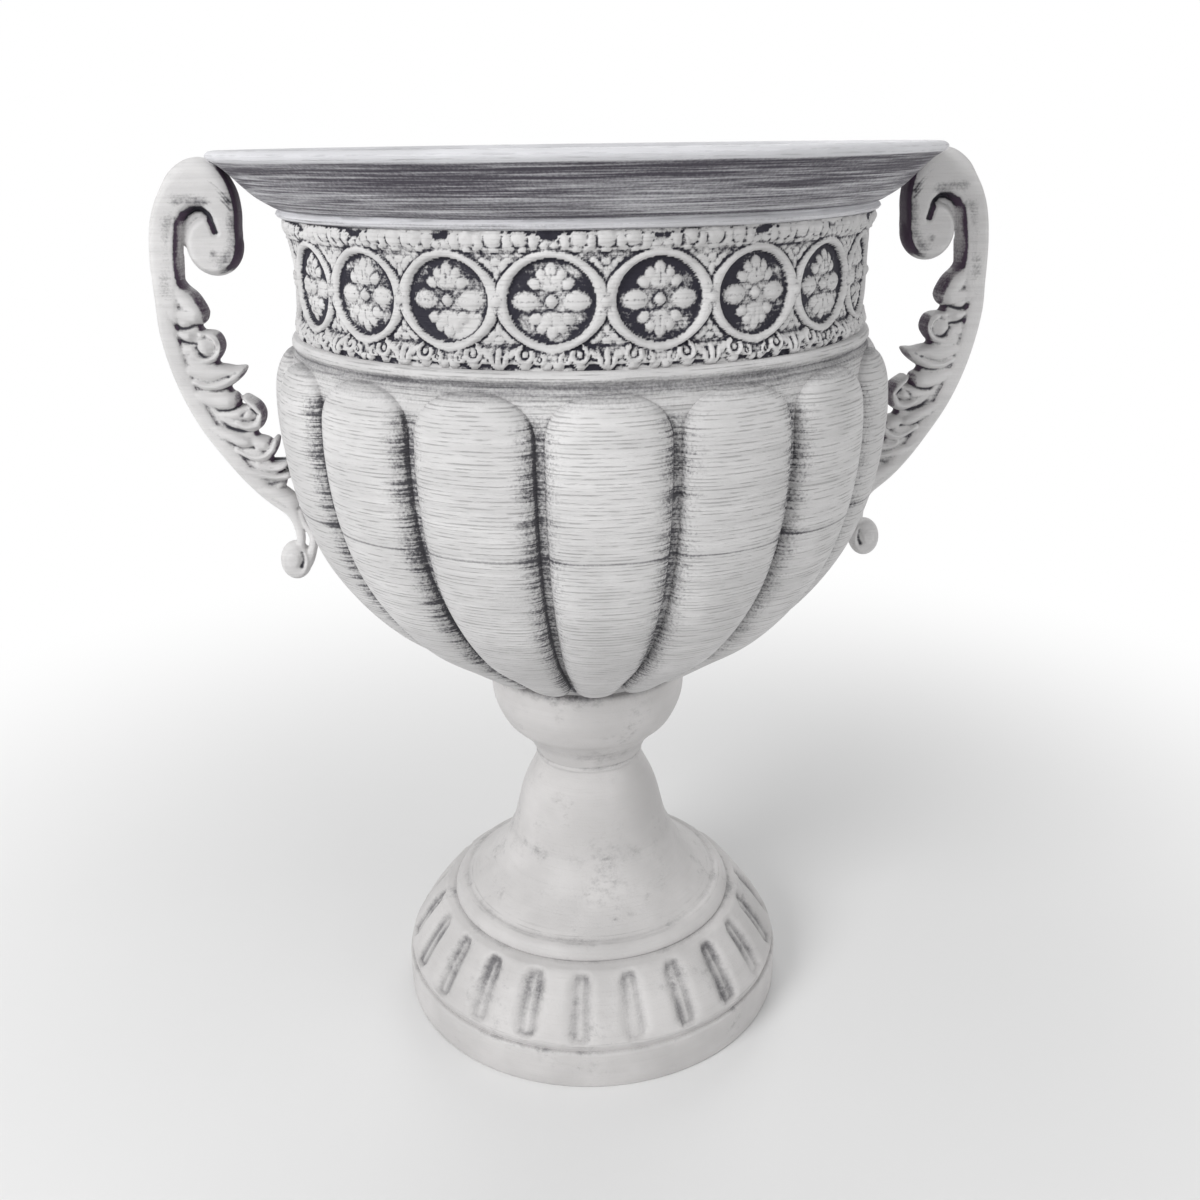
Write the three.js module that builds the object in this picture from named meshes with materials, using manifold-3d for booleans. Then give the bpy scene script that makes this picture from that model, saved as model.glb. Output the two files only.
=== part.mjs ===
// Open two-handled urn in the antique manner, on a domed and fluted foot.
// Millimetres, +Z up, standing on z = 0, handles on the X axis.

import * as THREE from 'three';
import { mergeVertices } from 'three/addons/utils/BufferGeometryUtils.js';
import Module from 'manifold-3d';

const wasm = await Module();
wasm.setup();

// Heights of the pieces, stacked from the ground up
const BASE_HEIGHT = 14.3;
const FLUTE_HEIGHT = 23.3;
const STEM_HEIGHT = 57.3;
const KNOP_HEIGHT = 35.1;
const LOWER_BOWL_HEIGHT = 67.5;
const UPPER_BOWL_HEIGHT = 50.1;
const FRIEZE_HEIGHT = 34.4;
const RIM_HEIGHT = 18.9;

// Outer radii where the pieces meet
const BASE_RADIUS = 70.3;
const FLUTE_TOP_RADIUS = 52.4;
const DOME_EDGE_RADIUS = 51.8;
const WAIST_RADIUS = 19.3;
const KNOP_RADIUS = 34.2;
const FIELD_RADIUS = 87.2;
const RIM_RADIUS = 110;

// Walls and fits
const WALL = 4.5;
const FIT = 0.25;
const SEAT_GAP = 0.3;
const SPIGOT_HEIGHT = 3;
const SPIGOT_WALL = 2.4;
const BOWL_FLOOR = 6;

// Lobes of the bowl
const LOBE_COUNT = 16;
const LOBE_DEPTH = 6;
const LOBE_END_DEPTH = 3.5;
const LOBE_FILL = 0.92;
const LOBE_ROUNDNESS = 2.3;
const LOBE_TOP_DROP = 5.5;
const LOBE_TOP_ROUNDING = 13;
const LOBE_END_ROUNDING = 6;
const LOBE_GROWTH = 0.6;
const BOWL_END_RISE = 1.6;
const BOWL_END_STEP = 1.2;
const BOWL_END_CHAMFER = 0.5;

// Ground line of the bowl behind the lobes: steps out from the frieze's field, then shares of
// the radius at the seam and of the lower shell's height
const SHOULDER_STEP = 3.3;
const SHOULDER_SWELL = 0.4;
const BELLY_SWELL = 1.7;
const BELLY_DROP = 27;
const SEAM_DRAW_IN = 3.2;
const HIP = { reach: 0.909, rise: 0.71 };
const TURN = { reach: 0.737, rise: 0.41 };
const UNDER = { reach: 0.565, rise: 0.22 };
const TILT_START = 0.35;

// Frieze
const BORDER_RELIEF = 1.6;
const BORDER_CHAMFER = 1;
const UPPER_BORDER_HEIGHT = 7;
const LOWER_BORDER_HEIGHT = 7;
const MEDALLION_COUNT = 20;
const MEDALLION_WIDTH = 19.4;
const MEDALLION_HEIGHT = 22.2;
const MEDALLION_TUBE = 1.5;
const ROSETTE_RADIUS = 5.6;
const ROSETTE_RELIEF = 1.6;
const BEAD_RADIUS = 2;
const RING_SIDES = 3;
const RING_STEPS = 10;

// Rim
const LIP_HEIGHT = 3.6;
const LIP_FLAT = 5;
const RIM_FOOT_STEP = 2.6;
const RIM_BEAD_STEP = 4.1;
const RIM_BEAD_HEIGHT = 2.4;
const RIM_BEAD_SWELL = 0.8;
const RIM_COVE = { reach: 0.374, rise: 0.357 };

// Stem, dome and foot
const SHAFT_RADIUS = 24.2;
const WAIST_DROP = 3.6;
const SHAFT_DROP = 14;
const BELL_RADIUS = 28.2;
const BELL_DROP = 29.4;
const DOME_NECK_RADIUS = 33.8;
const DOME_NECK_RISE = 16.9;
const DOME_RADIUS = 42.4;
const DOME_RISE = 8.1;
const SPIGOT_SHOULDER = 1;
const DOME_EDGE_HEIGHT = 1.6;
const STEM_HEAD_DEPTH = 16;
const KNOP_END_STEP = 1.8;
const KNOP_ROUNDING = 2;
const FLUTE_COUNT = 22;
const FLUTE_BULGE = 1.5;
const FLUTE_GROOVE = 1.2;
const FLUTE_MARGIN = 2.2;
const FLUTE_FOOT_STEP = 0.6;
const BASE_ROUNDING = 1;
const BASE_LEDGE_HEIGHT = 4;
const BASE_LEDGE_RADIUS = 56;
const FOOT_PLATE_WALL = 3;
const FOOT_PLATE_MARGIN = 6.5;
const FOOT_PLATE_RAISE = 6;
const FOOT_PLATE_DISH_RADIUS = 34;
const FOOT_PLATE_SLOPE = 8;
const FOOT_PLATE_SLOPE_STEP = 1.5;

// Tie rod and its washers and nuts
const ROD_RADIUS = 4;
const ROD_CLEARANCE = 0.4;
const THREAD_CLEARANCE = 0.15;
const ROD_OVERHANG = 1.6;
const WASHER_RADIUS = 12;
const WASHER_WALL = 1.6;
const NUT_ACROSS_FLATS = 13;
const NUT_HEIGHT = 6.5;

// Handles, their screws and dowels
const HANDLE_DEPTH = 12;
const HANDLE_BEVEL = 1.3;
const SCREW_ABOVE_SEAM = 7;
const SCREW_RADIUS = 2;
const SCREW_HEAD_RADIUS = 3.8;
const SCREW_HEAD_HEIGHT = 2.6;
const SCREW_HEAD_DOME = 0.4;
const SCREW_REACH = 11;
const SCREW_WASHER_RADIUS = 4.6;
const SCREW_WASHER_WALL = 0.8;
const SPOT_FACE_DEPTH = 1;
const DOWEL_RADIUS = 1.25;
const DOWEL_IN_RIM = 3;
const DOWEL_IN_HANDLE = 7;
const DOWEL_FROM_LIP = 2.4;
const CUT_OVERRUN = 5;

// Mesh fineness
const ROUND_STEPS = 40;
const RIM_STEPS = 60;
const INNER_STEPS = 32;
const BORE_STEPS = 16;
const GROUND_STEPS = 60;
const END_CLEARANCE = 0.3;
const LOBE_STATIONS = [-0.95, -0.78, -0.3, 0.3, 0.78, 0.95];
const FLUTE_STATIONS = [-0.82, -0.4, 0.4, 0.82, 1];

// Heights of the joints between the pieces
const baseTop = BASE_HEIGHT;
const fluteTop = baseTop + FLUTE_HEIGHT;
const stemTop = fluteTop + STEM_HEIGHT;
const knopTop = stemTop + KNOP_HEIGHT;
const seamZ = knopTop + LOWER_BOWL_HEIGHT;
const shoulderZ = seamZ + UPPER_BOWL_HEIGHT;
const friezeTop = shoulderZ + FRIEZE_HEIGHT;
const rimTop = friezeTop + RIM_HEIGHT;
const boreRadius = ROD_RADIUS + ROD_CLEARANCE;

// Radii that follow the frieze's field and the knop
const borderRadius = FIELD_RADIUS + BORDER_RELIEF;
const shoulderRadius = FIELD_RADIUS + SHOULDER_STEP;
const bellyRadius = shoulderRadius + BELLY_SWELL;
const seamRadius = bellyRadius - SEAM_DRAW_IN;
const bowlEndRadius = KNOP_RADIUS - BOWL_END_STEP;
const rimFootRadius = FIELD_RADIUS + RIM_FOOT_STEP;
const rimBeadRadius = FIELD_RADIUS + RIM_BEAD_STEP;

const antiqueWhite = { color: 0xd9d5d0, roughness: 0.72, metalness: 0 };
const shadedWhite = { color: 0xbdb9b6, roughness: 0.75, metalness: 0 };
const steel = { color: 0xa9abae, roughness: 0.35, metalness: 1 };

const point = (radius, z) => new THREE.Vector2(radius, z);

// Smooth line through a few points
function curveThrough(points, steps) {
  return new THREE.SplineCurve(points).getPoints(steps);
}

// Line set back inwards from a profile that runs downwards
function setBack(profile, wall) {
  return profile.map((here, i) => {
    const before = profile[Math.max(i - 1, 0)];
    const after = profile[Math.min(i + 1, profile.length - 1)];
    const along = after.clone().sub(before).normalize();
    return point(here.x + along.y * wall, here.y - along.x * wall);
  });
}

// Radius of a downward profile at one height
function radiusAt(profile, z) {
  for (let i = 1; i < profile.length; i += 1) {
    const upper = profile[i - 1];
    const lower = profile[i];
    if (lower.y <= z) {
      const share = (upper.y - z) / Math.max(upper.y - lower.y, 1e-6);
      return THREE.MathUtils.lerp(upper.x, lower.x, THREE.MathUtils.clamp(share, 0, 1));
    }
  }
  return profile[profile.length - 1].x;
}

// The part of a downward profile between two heights, with its ends on them
function clip(profile, high, low) {
  const inside = profile.filter((p) => p.y < high - END_CLEARANCE && p.y > low + END_CLEARANCE);
  return [point(radiusAt(profile, high), high), ...inside, point(radiusAt(profile, low), low)];
}

// Merged, outward-facing geometry from any closed one
function closed(geometry) {
  geometry.deleteAttribute('normal');
  geometry.deleteAttribute('uv');
  const merged = mergeVertices(geometry, 1e-4);
  const source = merged.index.array;
  const kept = [];
  for (let i = 0; i < source.length; i += 3) {
    const [a, b, c] = [source[i], source[i + 1], source[i + 2]];
    if (a !== b && b !== c && c !== a) kept.push(a, b, c);
  }
  const corners = [new THREE.Vector3(), new THREE.Vector3(), new THREE.Vector3()];
  let volume = 0;
  for (let i = 0; i < kept.length; i += 3) {
    corners.forEach((corner, k) => corner.fromBufferAttribute(merged.attributes.position, kept[i + k]));
    volume += corners[0].dot(corners[1].clone().cross(corners[2]));
  }
  merged.setIndex(volume < 0 ? kept.reverse() : kept);
  return merged;
}

function toSolid(geometry) {
  const merged = closed(geometry);
  return new wasm.Manifold(new wasm.Mesh({
    numProp: 3,
    vertProperties: new Float32Array(merged.attributes.position.array),
    triVerts: new Uint32Array(merged.index.array),
  }));
}

function toGeometry(solid) {
  const mesh = solid.getMesh();
  const geometry = new THREE.BufferGeometry();
  geometry.setAttribute('position', new THREE.BufferAttribute(mesh.vertProperties, 3));
  geometry.setIndex(new THREE.BufferAttribute(mesh.triVerts, 1));
  return geometry;
}

// Ring or disc turned about the Z axis from a closed profile
function turned(profile, steps = ROUND_STEPS) {
  const outline = [...profile, profile[0].clone()];
  return closed(new THREE.LatheGeometry(outline, steps).rotateX(Math.PI / 2));
}

// Closed skin over a stack of rings, each a list of points in order round the axis.
// Rings may differ in their number of points. A single point closes an end.
function skinOver(rings, endless) {
  const positions = [];
  const starts = rings.map((ring) => {
    const start = positions.length / 3;
    ring.forEach((p) => positions.push(p.x, p.y, p.z));
    return start;
  });
  const index = [];
  const pairs = endless ? rings.length : rings.length - 1;
  for (let k = 0; k < pairs; k += 1) {
    const next = (k + 1) % rings.length;
    const [na, nb] = [rings[k].length, rings[next].length];
    let [a, b] = [0, 0];
    while (a < na || b < nb) {
      const here = starts[k] + (a % na);
      const there = starts[next] + (b % nb);
      const stepA = na > 1 && a < na && (b >= nb || nb === 1 || (a + 1) / na <= (b + 1) / nb);
      if (stepA) {
        index.push(here, there, starts[k] + ((a + 1) % na));
        a += 1;
      } else {
        if (nb > 1) index.push(here, there, starts[next] + ((b + 1) % nb));
        b += 1;
      }
      if (na === 1 && b >= nb) a = na;
      if (nb === 1 && a >= na) b = nb;
    }
  }
  const geometry = new THREE.BufferGeometry();
  geometry.setAttribute('position', new THREE.Float32BufferAttribute(positions, 3));
  geometry.setIndex(index);
  return closed(geometry);
}

// Radius for the corners of a many-sided hole that leaves room for a full round
const roomFor = (radius, steps) => radius / Math.cos(Math.PI / steps);

function roundRing(radius, z, steps) {
  return Array.from({ length: steps }, (_, i) => {
    const turn = (i / steps) * 2 * Math.PI;
    return new THREE.Vector3(radius * Math.sin(turn), -radius * Math.cos(turn), z);
  });
}

const holeRing = (radius, z, steps) => roundRing(roomFor(radius, steps), z, steps);

// Bowl: the ground line behind the lobes, from the frieze down to the knop
const groundProfile = curveThrough([
  point(shoulderRadius, shoulderZ),
  point(shoulderRadius + SHOULDER_SWELL, shoulderZ - LOBE_TOP_DROP),
  point(bellyRadius, shoulderZ - BELLY_DROP),
  point(seamRadius, seamZ),
  ...[HIP, TURN, UNDER].map(({ reach, rise }) => (
    point(seamRadius * reach, knopTop + LOWER_BOWL_HEIGHT * rise))),
  point(bowlEndRadius, knopTop + BOWL_END_RISE),
], GROUND_STEPS);

// Height of a lobe over the ground, by its place across the lobe and its height
function lobeRise(across, z) {
  const top = shoulderZ - LOBE_TOP_DROP;
  const depth = THREE.MathUtils.lerp(
    LOBE_END_DEPTH,
    LOBE_DEPTH,
    THREE.MathUtils.smoothstep(z, knopTop, knopTop + LOWER_BOWL_HEIGHT * LOBE_GROWTH),
  );
  const high = Math.max(z - (top - LOBE_TOP_ROUNDING), 0) / LOBE_TOP_ROUNDING;
  const low = Math.max(knopTop + BOWL_END_RISE + LOBE_END_ROUNDING - z, 0) / LOBE_END_ROUNDING;
  const wide = Math.abs(across) / LOBE_FILL;
  const inside = 1 - wide ** LOBE_ROUNDNESS - Math.max(high, low) ** LOBE_ROUNDNESS;
  return inside > 0 ? depth * inside ** (1 / LOBE_ROUNDNESS) : 0;
}

// One ring of the lobed surface. The lobes stand out level above the seam and square to the
// ground line below it, so both shells meet on a flat seam.
function lobedRing(here, along, grow) {
  const tilt = THREE.MathUtils.smoothstep(seamZ - here.y, 0, LOWER_BOWL_HEIGHT * TILT_START);
  const out = point(THREE.MathUtils.lerp(1, -along.y, tilt), THREE.MathUtils.lerp(0, along.x, tilt));
  out.normalize();
  const perLobe = LOBE_STATIONS.length;
  return Array.from({ length: LOBE_COUNT * perLobe }, (_, i) => {
    const across = LOBE_STATIONS[i % perLobe];
    const turn = ((Math.floor(i / perLobe) + across / 2) / LOBE_COUNT) * 2 * Math.PI;
    const rise = lobeRise(across, here.y) + grow;
    const radius = here.x + out.x * rise;
    return new THREE.Vector3(radius * Math.sin(turn), -radius * Math.cos(turn), here.y + out.y * rise);
  });
}

function lobedRings(profile, grow) {
  return profile.map((here, i) => {
    const before = profile[Math.max(i - 1, 0)];
    const after = profile[Math.min(i + 1, profile.length - 1)];
    return lobedRing(here, after.clone().sub(before).normalize(), grow);
  });
}

// Every nth point of a profile, with both ends
function thin(profile, every) {
  return profile.filter((_, i) => i % every === 0 || i === profile.length - 1);
}

const upperGround = clip(thin(groundProfile, 3), shoulderZ, seamZ);
const lowerGround = clip(thin(groundProfile, 4), seamZ, knopTop + BOWL_END_RISE);
const bowlInner = setBack(groundProfile, WALL);
const innerRadiusAt = (z) => radiusAt(bowlInner, z);

function bowlUpper() {
  const spigotRadius = innerRadiusAt(seamZ - SPIGOT_HEIGHT) - FIT;
  const inner = clip(thin(bowlInner, 8), shoulderZ, seamZ + SPIGOT_HEIGHT).reverse();
  return skinOver([
    ...lobedRings(upperGround, 0),
    roundRing(spigotRadius, seamZ, INNER_STEPS),
    roundRing(spigotRadius, seamZ - SPIGOT_HEIGHT, INNER_STEPS),
    roundRing(spigotRadius - SPIGOT_WALL, seamZ - SPIGOT_HEIGHT, INNER_STEPS),
    roundRing(spigotRadius - SPIGOT_WALL, seamZ + SPIGOT_HEIGHT, INNER_STEPS),
    ...inner.map((p) => holeRing(p.x, p.y, INNER_STEPS)),
  ], true);
}

function bowlLower() {
  const floorZ = knopTop + BOWL_FLOOR;
  const inner = clip(thin(bowlInner, 7), seamZ, floorZ).reverse();
  return skinOver([
    ...lobedRings(lowerGround, 0),
    roundRing(bowlEndRadius - BOWL_END_CHAMFER, knopTop, INNER_STEPS),
    holeRing(boreRadius, knopTop, BORE_STEPS),
    holeRing(boreRadius, floorZ, BORE_STEPS),
    ...inner.map((p) => holeRing(p.x, p.y, INNER_STEPS)),
  ], true);
}

// The whole bowl as one solid, grown by the seat gap, for cutting what rests against it
function bowlRoom() {
  const top = new THREE.Vector3(0, 0, shoulderZ + FIT);
  const bottom = new THREE.Vector3(0, 0, knopTop);
  return toSolid(skinOver([
    [top],
    ...lobedRings(upperGround, SEAT_GAP),
    ...lobedRings(lowerGround.slice(1), SEAT_GAP),
    [bottom],
  ], false));
}

// Rim: flared cone under a flat lip, with a bead at its foot
const beadTop = friezeTop + RIM_BEAD_HEIGHT;
const coveRadius = THREE.MathUtils.lerp(rimBeadRadius, RIM_RADIUS, RIM_COVE.reach);
const coveZ = THREE.MathUtils.lerp(beadTop, rimTop - LIP_HEIGHT, RIM_COVE.rise);
const rimOuter = [
  point(RIM_RADIUS, rimTop),
  point(RIM_RADIUS, rimTop - LIP_HEIGHT),
  point(coveRadius, coveZ),
  point(rimBeadRadius, beadTop),
  point(rimBeadRadius + RIM_BEAD_SWELL, friezeTop + RIM_BEAD_HEIGHT / 2),
  point(rimFootRadius, friezeTop),
];
const friezeInnerRadius = FIELD_RADIUS - WALL;
const lipInnerRadius = RIM_RADIUS - LIP_FLAT;
const dowelX = RIM_RADIUS - DOWEL_FROM_LIP;
const dowelSeatZ = radiusSeat(dowelX);

// Height of the rim's underside at one radius
function radiusSeat(radius) {
  const [lip, cove] = [rimOuter[1], rimOuter[2]];
  return cove.y + ((radius - cove.x) / (lip.x - cove.x)) * (lip.y - cove.y);
}

function rim() {
  const spigotRadius = friezeInnerRadius - FIT;
  const body = toSolid(turned([
    ...rimOuter,
    point(spigotRadius, friezeTop),
    point(spigotRadius, friezeTop - SPIGOT_HEIGHT),
    point(spigotRadius - SPIGOT_WALL, friezeTop - SPIGOT_HEIGHT),
    point(spigotRadius - SPIGOT_WALL, friezeTop + SPIGOT_HEIGHT),
    point(lipInnerRadius, rimTop),
  ], RIM_STEPS));
  const holes = [1, -1].map((side) => toSolid(new THREE.CylinderGeometry(
    DOWEL_RADIUS + FIT,
    DOWEL_RADIUS + FIT,
    2 * (DOWEL_IN_RIM + FIT),
    BORE_STEPS,
  ).rotateX(Math.PI / 2).translate(side * dowelX, 0, dowelSeatZ)));
  return toGeometry(body.subtract(holes[0]).subtract(holes[1]));
}

// Frieze band with linked medallions, rosettes and beads
function friezeBand() {
  const spigotRadius = innerRadiusAt(shoulderZ - SPIGOT_HEIGHT) - FIT;
  let band = toSolid(turned([
    point(borderRadius, friezeTop),
    point(borderRadius, friezeTop - UPPER_BORDER_HEIGHT),
    point(FIELD_RADIUS, friezeTop - UPPER_BORDER_HEIGHT - BORDER_CHAMFER),
    point(FIELD_RADIUS, shoulderZ + LOWER_BORDER_HEIGHT + BORDER_CHAMFER),
    point(borderRadius, shoulderZ + LOWER_BORDER_HEIGHT),
    point(borderRadius, shoulderZ),
    point(spigotRadius, shoulderZ),
    point(spigotRadius, shoulderZ - SPIGOT_HEIGHT),
    point(roomFor(friezeInnerRadius, RIM_STEPS), shoulderZ - SPIGOT_HEIGHT),
    point(roomFor(friezeInnerRadius, RIM_STEPS), friezeTop),
  ], RIM_STEPS));
  const middleZ = shoulderZ + FRIEZE_HEIGHT / 2;
  const pitch = (2 * Math.PI) / MEDALLION_COUNT;
  const onBand = (geometry, turn) => toSolid(geometry
    .translate(0, -FIELD_RADIUS, middleZ)
    .rotateZ(turn));
  for (let i = 0; i < MEDALLION_COUNT; i += 1) {
    const tube = MEDALLION_TUBE / (MEDALLION_WIDTH / 2);
    const ring = new THREE.TorusGeometry(1, tube, RING_SIDES, RING_STEPS)
      .scale(MEDALLION_WIDTH / 2, MEDALLION_HEIGHT / 2, MEDALLION_WIDTH / 2)
      .rotateX(Math.PI / 2);
    const rosette = new THREE.OctahedronGeometry(1, 0)
      .scale(ROSETTE_RADIUS, ROSETTE_RELIEF, ROSETTE_RADIUS);
    const bead = new THREE.OctahedronGeometry(BEAD_RADIUS, 0);
    bend(ring);
    band = band.add(onBand(ring, (i + 0.5) * pitch));
    band = band.add(onBand(rosette, (i + 0.5) * pitch));
    band = band.add(onBand(bead, i * pitch));
  }
  return toGeometry(band);
}

// Wraps a flat ornament, drawn on the plane y = 0, round the field's cylinder
function bend(geometry) {
  const places = geometry.attributes.position;
  for (let i = 0; i < places.count; i += 1) {
    const turn = places.getX(i) / FIELD_RADIUS;
    const radius = FIELD_RADIUS - places.getY(i);
    places.setX(i, radius * Math.sin(turn));
    places.setY(i, FIELD_RADIUS - radius * Math.cos(turn));
  }
}

// Knop: round boss drawn in to the waist
function knop() {
  const outer = curveThrough([
    point(KNOP_RADIUS, knopTop - KNOP_ROUNDING),
    point(KNOP_RADIUS * 0.985, knopTop - KNOP_HEIGHT * 0.33),
    point(KNOP_RADIUS * 0.88, knopTop - KNOP_HEIGHT * 0.58),
    point(KNOP_RADIUS * 0.75, knopTop - KNOP_HEIGHT * 0.71),
    point(WAIST_RADIUS * 1.12, knopTop - KNOP_HEIGHT * 0.84),
    point(WAIST_RADIUS, stemTop),
  ], 9);
  return turned([
    point(KNOP_RADIUS - KNOP_END_STEP, knopTop),
    ...outer,
    point(boreRadius, stemTop),
    point(boreRadius, knopTop),
  ]);
}

// Stem: shaft, bell and dome in one, hollow below its head
function stem() {
  const shaft = curveThrough([
    point(WAIST_RADIUS, stemTop),
    point(WAIST_RADIUS, stemTop - WAIST_DROP),
    point(SHAFT_RADIUS, stemTop - SHAFT_DROP),
    point(BELL_RADIUS, stemTop - BELL_DROP),
  ], 6);
  const dome = curveThrough([
    point(BELL_RADIUS, stemTop - BELL_DROP),
    point(DOME_NECK_RADIUS, fluteTop + DOME_NECK_RISE),
    point(DOME_RADIUS, fluteTop + DOME_RISE),
    point(DOME_EDGE_RADIUS, fluteTop + DOME_EDGE_HEIGHT),
  ], 6);
  const outer = [...shaft, ...dome.slice(1)];
  const spigotRadius = FLUTE_TOP_RADIUS - WALL - SPIGOT_SHOULDER - FIT;
  const hollow = setBack(outer, WALL);
  const hollowLow = fluteTop + DOME_EDGE_HEIGHT + SPIGOT_HEIGHT;
  const inner = clip(thin(hollow, 2), stemTop - STEM_HEAD_DEPTH, hollowLow);
  return turned([
    ...outer,
    point(DOME_EDGE_RADIUS, fluteTop),
    point(spigotRadius, fluteTop),
    point(spigotRadius, fluteTop - SPIGOT_HEIGHT),
    point(spigotRadius - SPIGOT_WALL, fluteTop - SPIGOT_HEIGHT),
    ...inner.reverse(),
    point(boreRadius, stemTop - STEM_HEAD_DEPTH),
    point(boreRadius, stemTop),
  ]);
}

// Ring of tongues divided by narrow grooves
function fluteRing() {
  const topInner = FLUTE_TOP_RADIUS - WALL - SPIGOT_SHOULDER;
  const bottomOuter = BASE_RADIUS - FLUTE_FOOT_STEP;
  const bottomInner = bottomOuter - WALL - SPIGOT_SHOULDER;
  const slope = point(bottomOuter - FLUTE_TOP_RADIUS, baseTop - fluteTop).normalize();
  const ringAt = (share) => {
    const radius = THREE.MathUtils.lerp(FLUTE_TOP_RADIUS, bottomOuter, share);
    const z = THREE.MathUtils.lerp(fluteTop, baseTop, share);
    const fade = Math.sin(Math.PI * share) ** 0.5;
    const perFlute = FLUTE_STATIONS.length;
    return Array.from({ length: FLUTE_COUNT * perFlute }, (_, i) => {
      const across = FLUTE_STATIONS[i % perFlute];
      const turn = ((Math.floor(i / perFlute) + across / 2) / FLUTE_COUNT) * 2 * Math.PI;
      const rise = fade * (across === 1 ? -FLUTE_GROOVE : FLUTE_BULGE);
      const here = radius - slope.y * rise;
      return new THREE.Vector3(here * Math.sin(turn), -here * Math.cos(turn), z + slope.x * rise);
    });
  };
  const shareOfMargin = FLUTE_MARGIN / FLUTE_HEIGHT;
  return skinOver([
    ...[0, shareOfMargin, 0.5, 1 - shareOfMargin, 1].map(ringAt),
    roundRing(bottomInner, baseTop, INNER_STEPS),
    holeRing(topInner, fluteTop - SPIGOT_HEIGHT - FIT, INNER_STEPS),
    holeRing(topInner, fluteTop, INNER_STEPS),
  ], true);
}

// Plain ring on the ground, with a ledge inside for the clamping plate
const platePocketRadius = BASE_RADIUS - FOOT_PLATE_MARGIN;
const ledgeZ = baseTop - BASE_LEDGE_HEIGHT;

function baseRing() {
  return turned([
    point(BASE_RADIUS - BASE_ROUNDING, baseTop),
    point(BASE_RADIUS, baseTop - BASE_ROUNDING),
    point(BASE_RADIUS, 0),
    point(platePocketRadius, 0),
    point(platePocketRadius, ledgeZ),
    point(BASE_LEDGE_RADIUS, ledgeZ),
    point(BASE_LEDGE_RADIUS, baseTop),
  ]);
}

// Dished plate that the tie rod draws up against the ledge
const dishTop = ledgeZ + FOOT_PLATE_RAISE;
const dishBottom = dishTop - FOOT_PLATE_WALL;

function footPlate() {
  const flangeInner = FOOT_PLATE_DISH_RADIUS + FOOT_PLATE_SLOPE;
  return turned([
    point(FOOT_PLATE_DISH_RADIUS, dishTop),
    point(flangeInner, ledgeZ),
    point(platePocketRadius - FIT, ledgeZ),
    point(platePocketRadius - FIT, ledgeZ - FOOT_PLATE_WALL),
    point(flangeInner - FOOT_PLATE_SLOPE_STEP, ledgeZ - FOOT_PLATE_WALL),
    point(FOOT_PLATE_DISH_RADIUS - FOOT_PLATE_SLOPE_STEP, dishBottom),
    point(boreRadius, dishBottom),
    point(boreRadius, dishTop),
  ]);
}

function washer(outer, bore, wall) {
  return turned([point(outer, wall), point(outer, 0), point(bore, 0), point(bore, wall)], BORE_STEPS);
}

function nut() {
  const corner = NUT_ACROSS_FLATS / 2 / Math.cos(Math.PI / 6);
  const outline = new THREE.Shape();
  for (let i = 0; i < 6; i += 1) {
    const turn = (i * Math.PI) / 3;
    outline.lineTo(corner * Math.cos(turn), corner * Math.sin(turn));
  }
  outline.curves.shift();
  outline.closePath();
  outline.holes.push(new THREE.Path().absarc(0, 0, ROD_RADIUS + THREAD_CLEARANCE, 0, 2 * Math.PI));
  return closed(new THREE.ExtrudeGeometry(outline, {
    depth: NUT_HEIGHT,
    bevelEnabled: false,
    curveSegments: BORE_STEPS / 2,
  }));
}

const screwZ = seamZ + SCREW_ABOVE_SEAM;
const seatX = innerRadiusAt(screwZ) + SPOT_FACE_DEPTH;
const crestX = radiusAt(groundProfile, screwZ) + LOBE_DEPTH;
const screwTipX = crestX + SCREW_REACH;

// A point of the handle's outline. Both numbers are shares of the height from the seam to the
// lip: out from the line between the lobes' crest and the lip, and up from the seam.
const handleRise = rimTop - seamZ;
function at(out, up) {
  const line = THREE.MathUtils.lerp(crestX, RIM_RADIUS, THREE.MathUtils.clamp(up, 0, 1));
  return point(line + out * handleRise, seamZ + up * handleRise);
}

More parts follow.
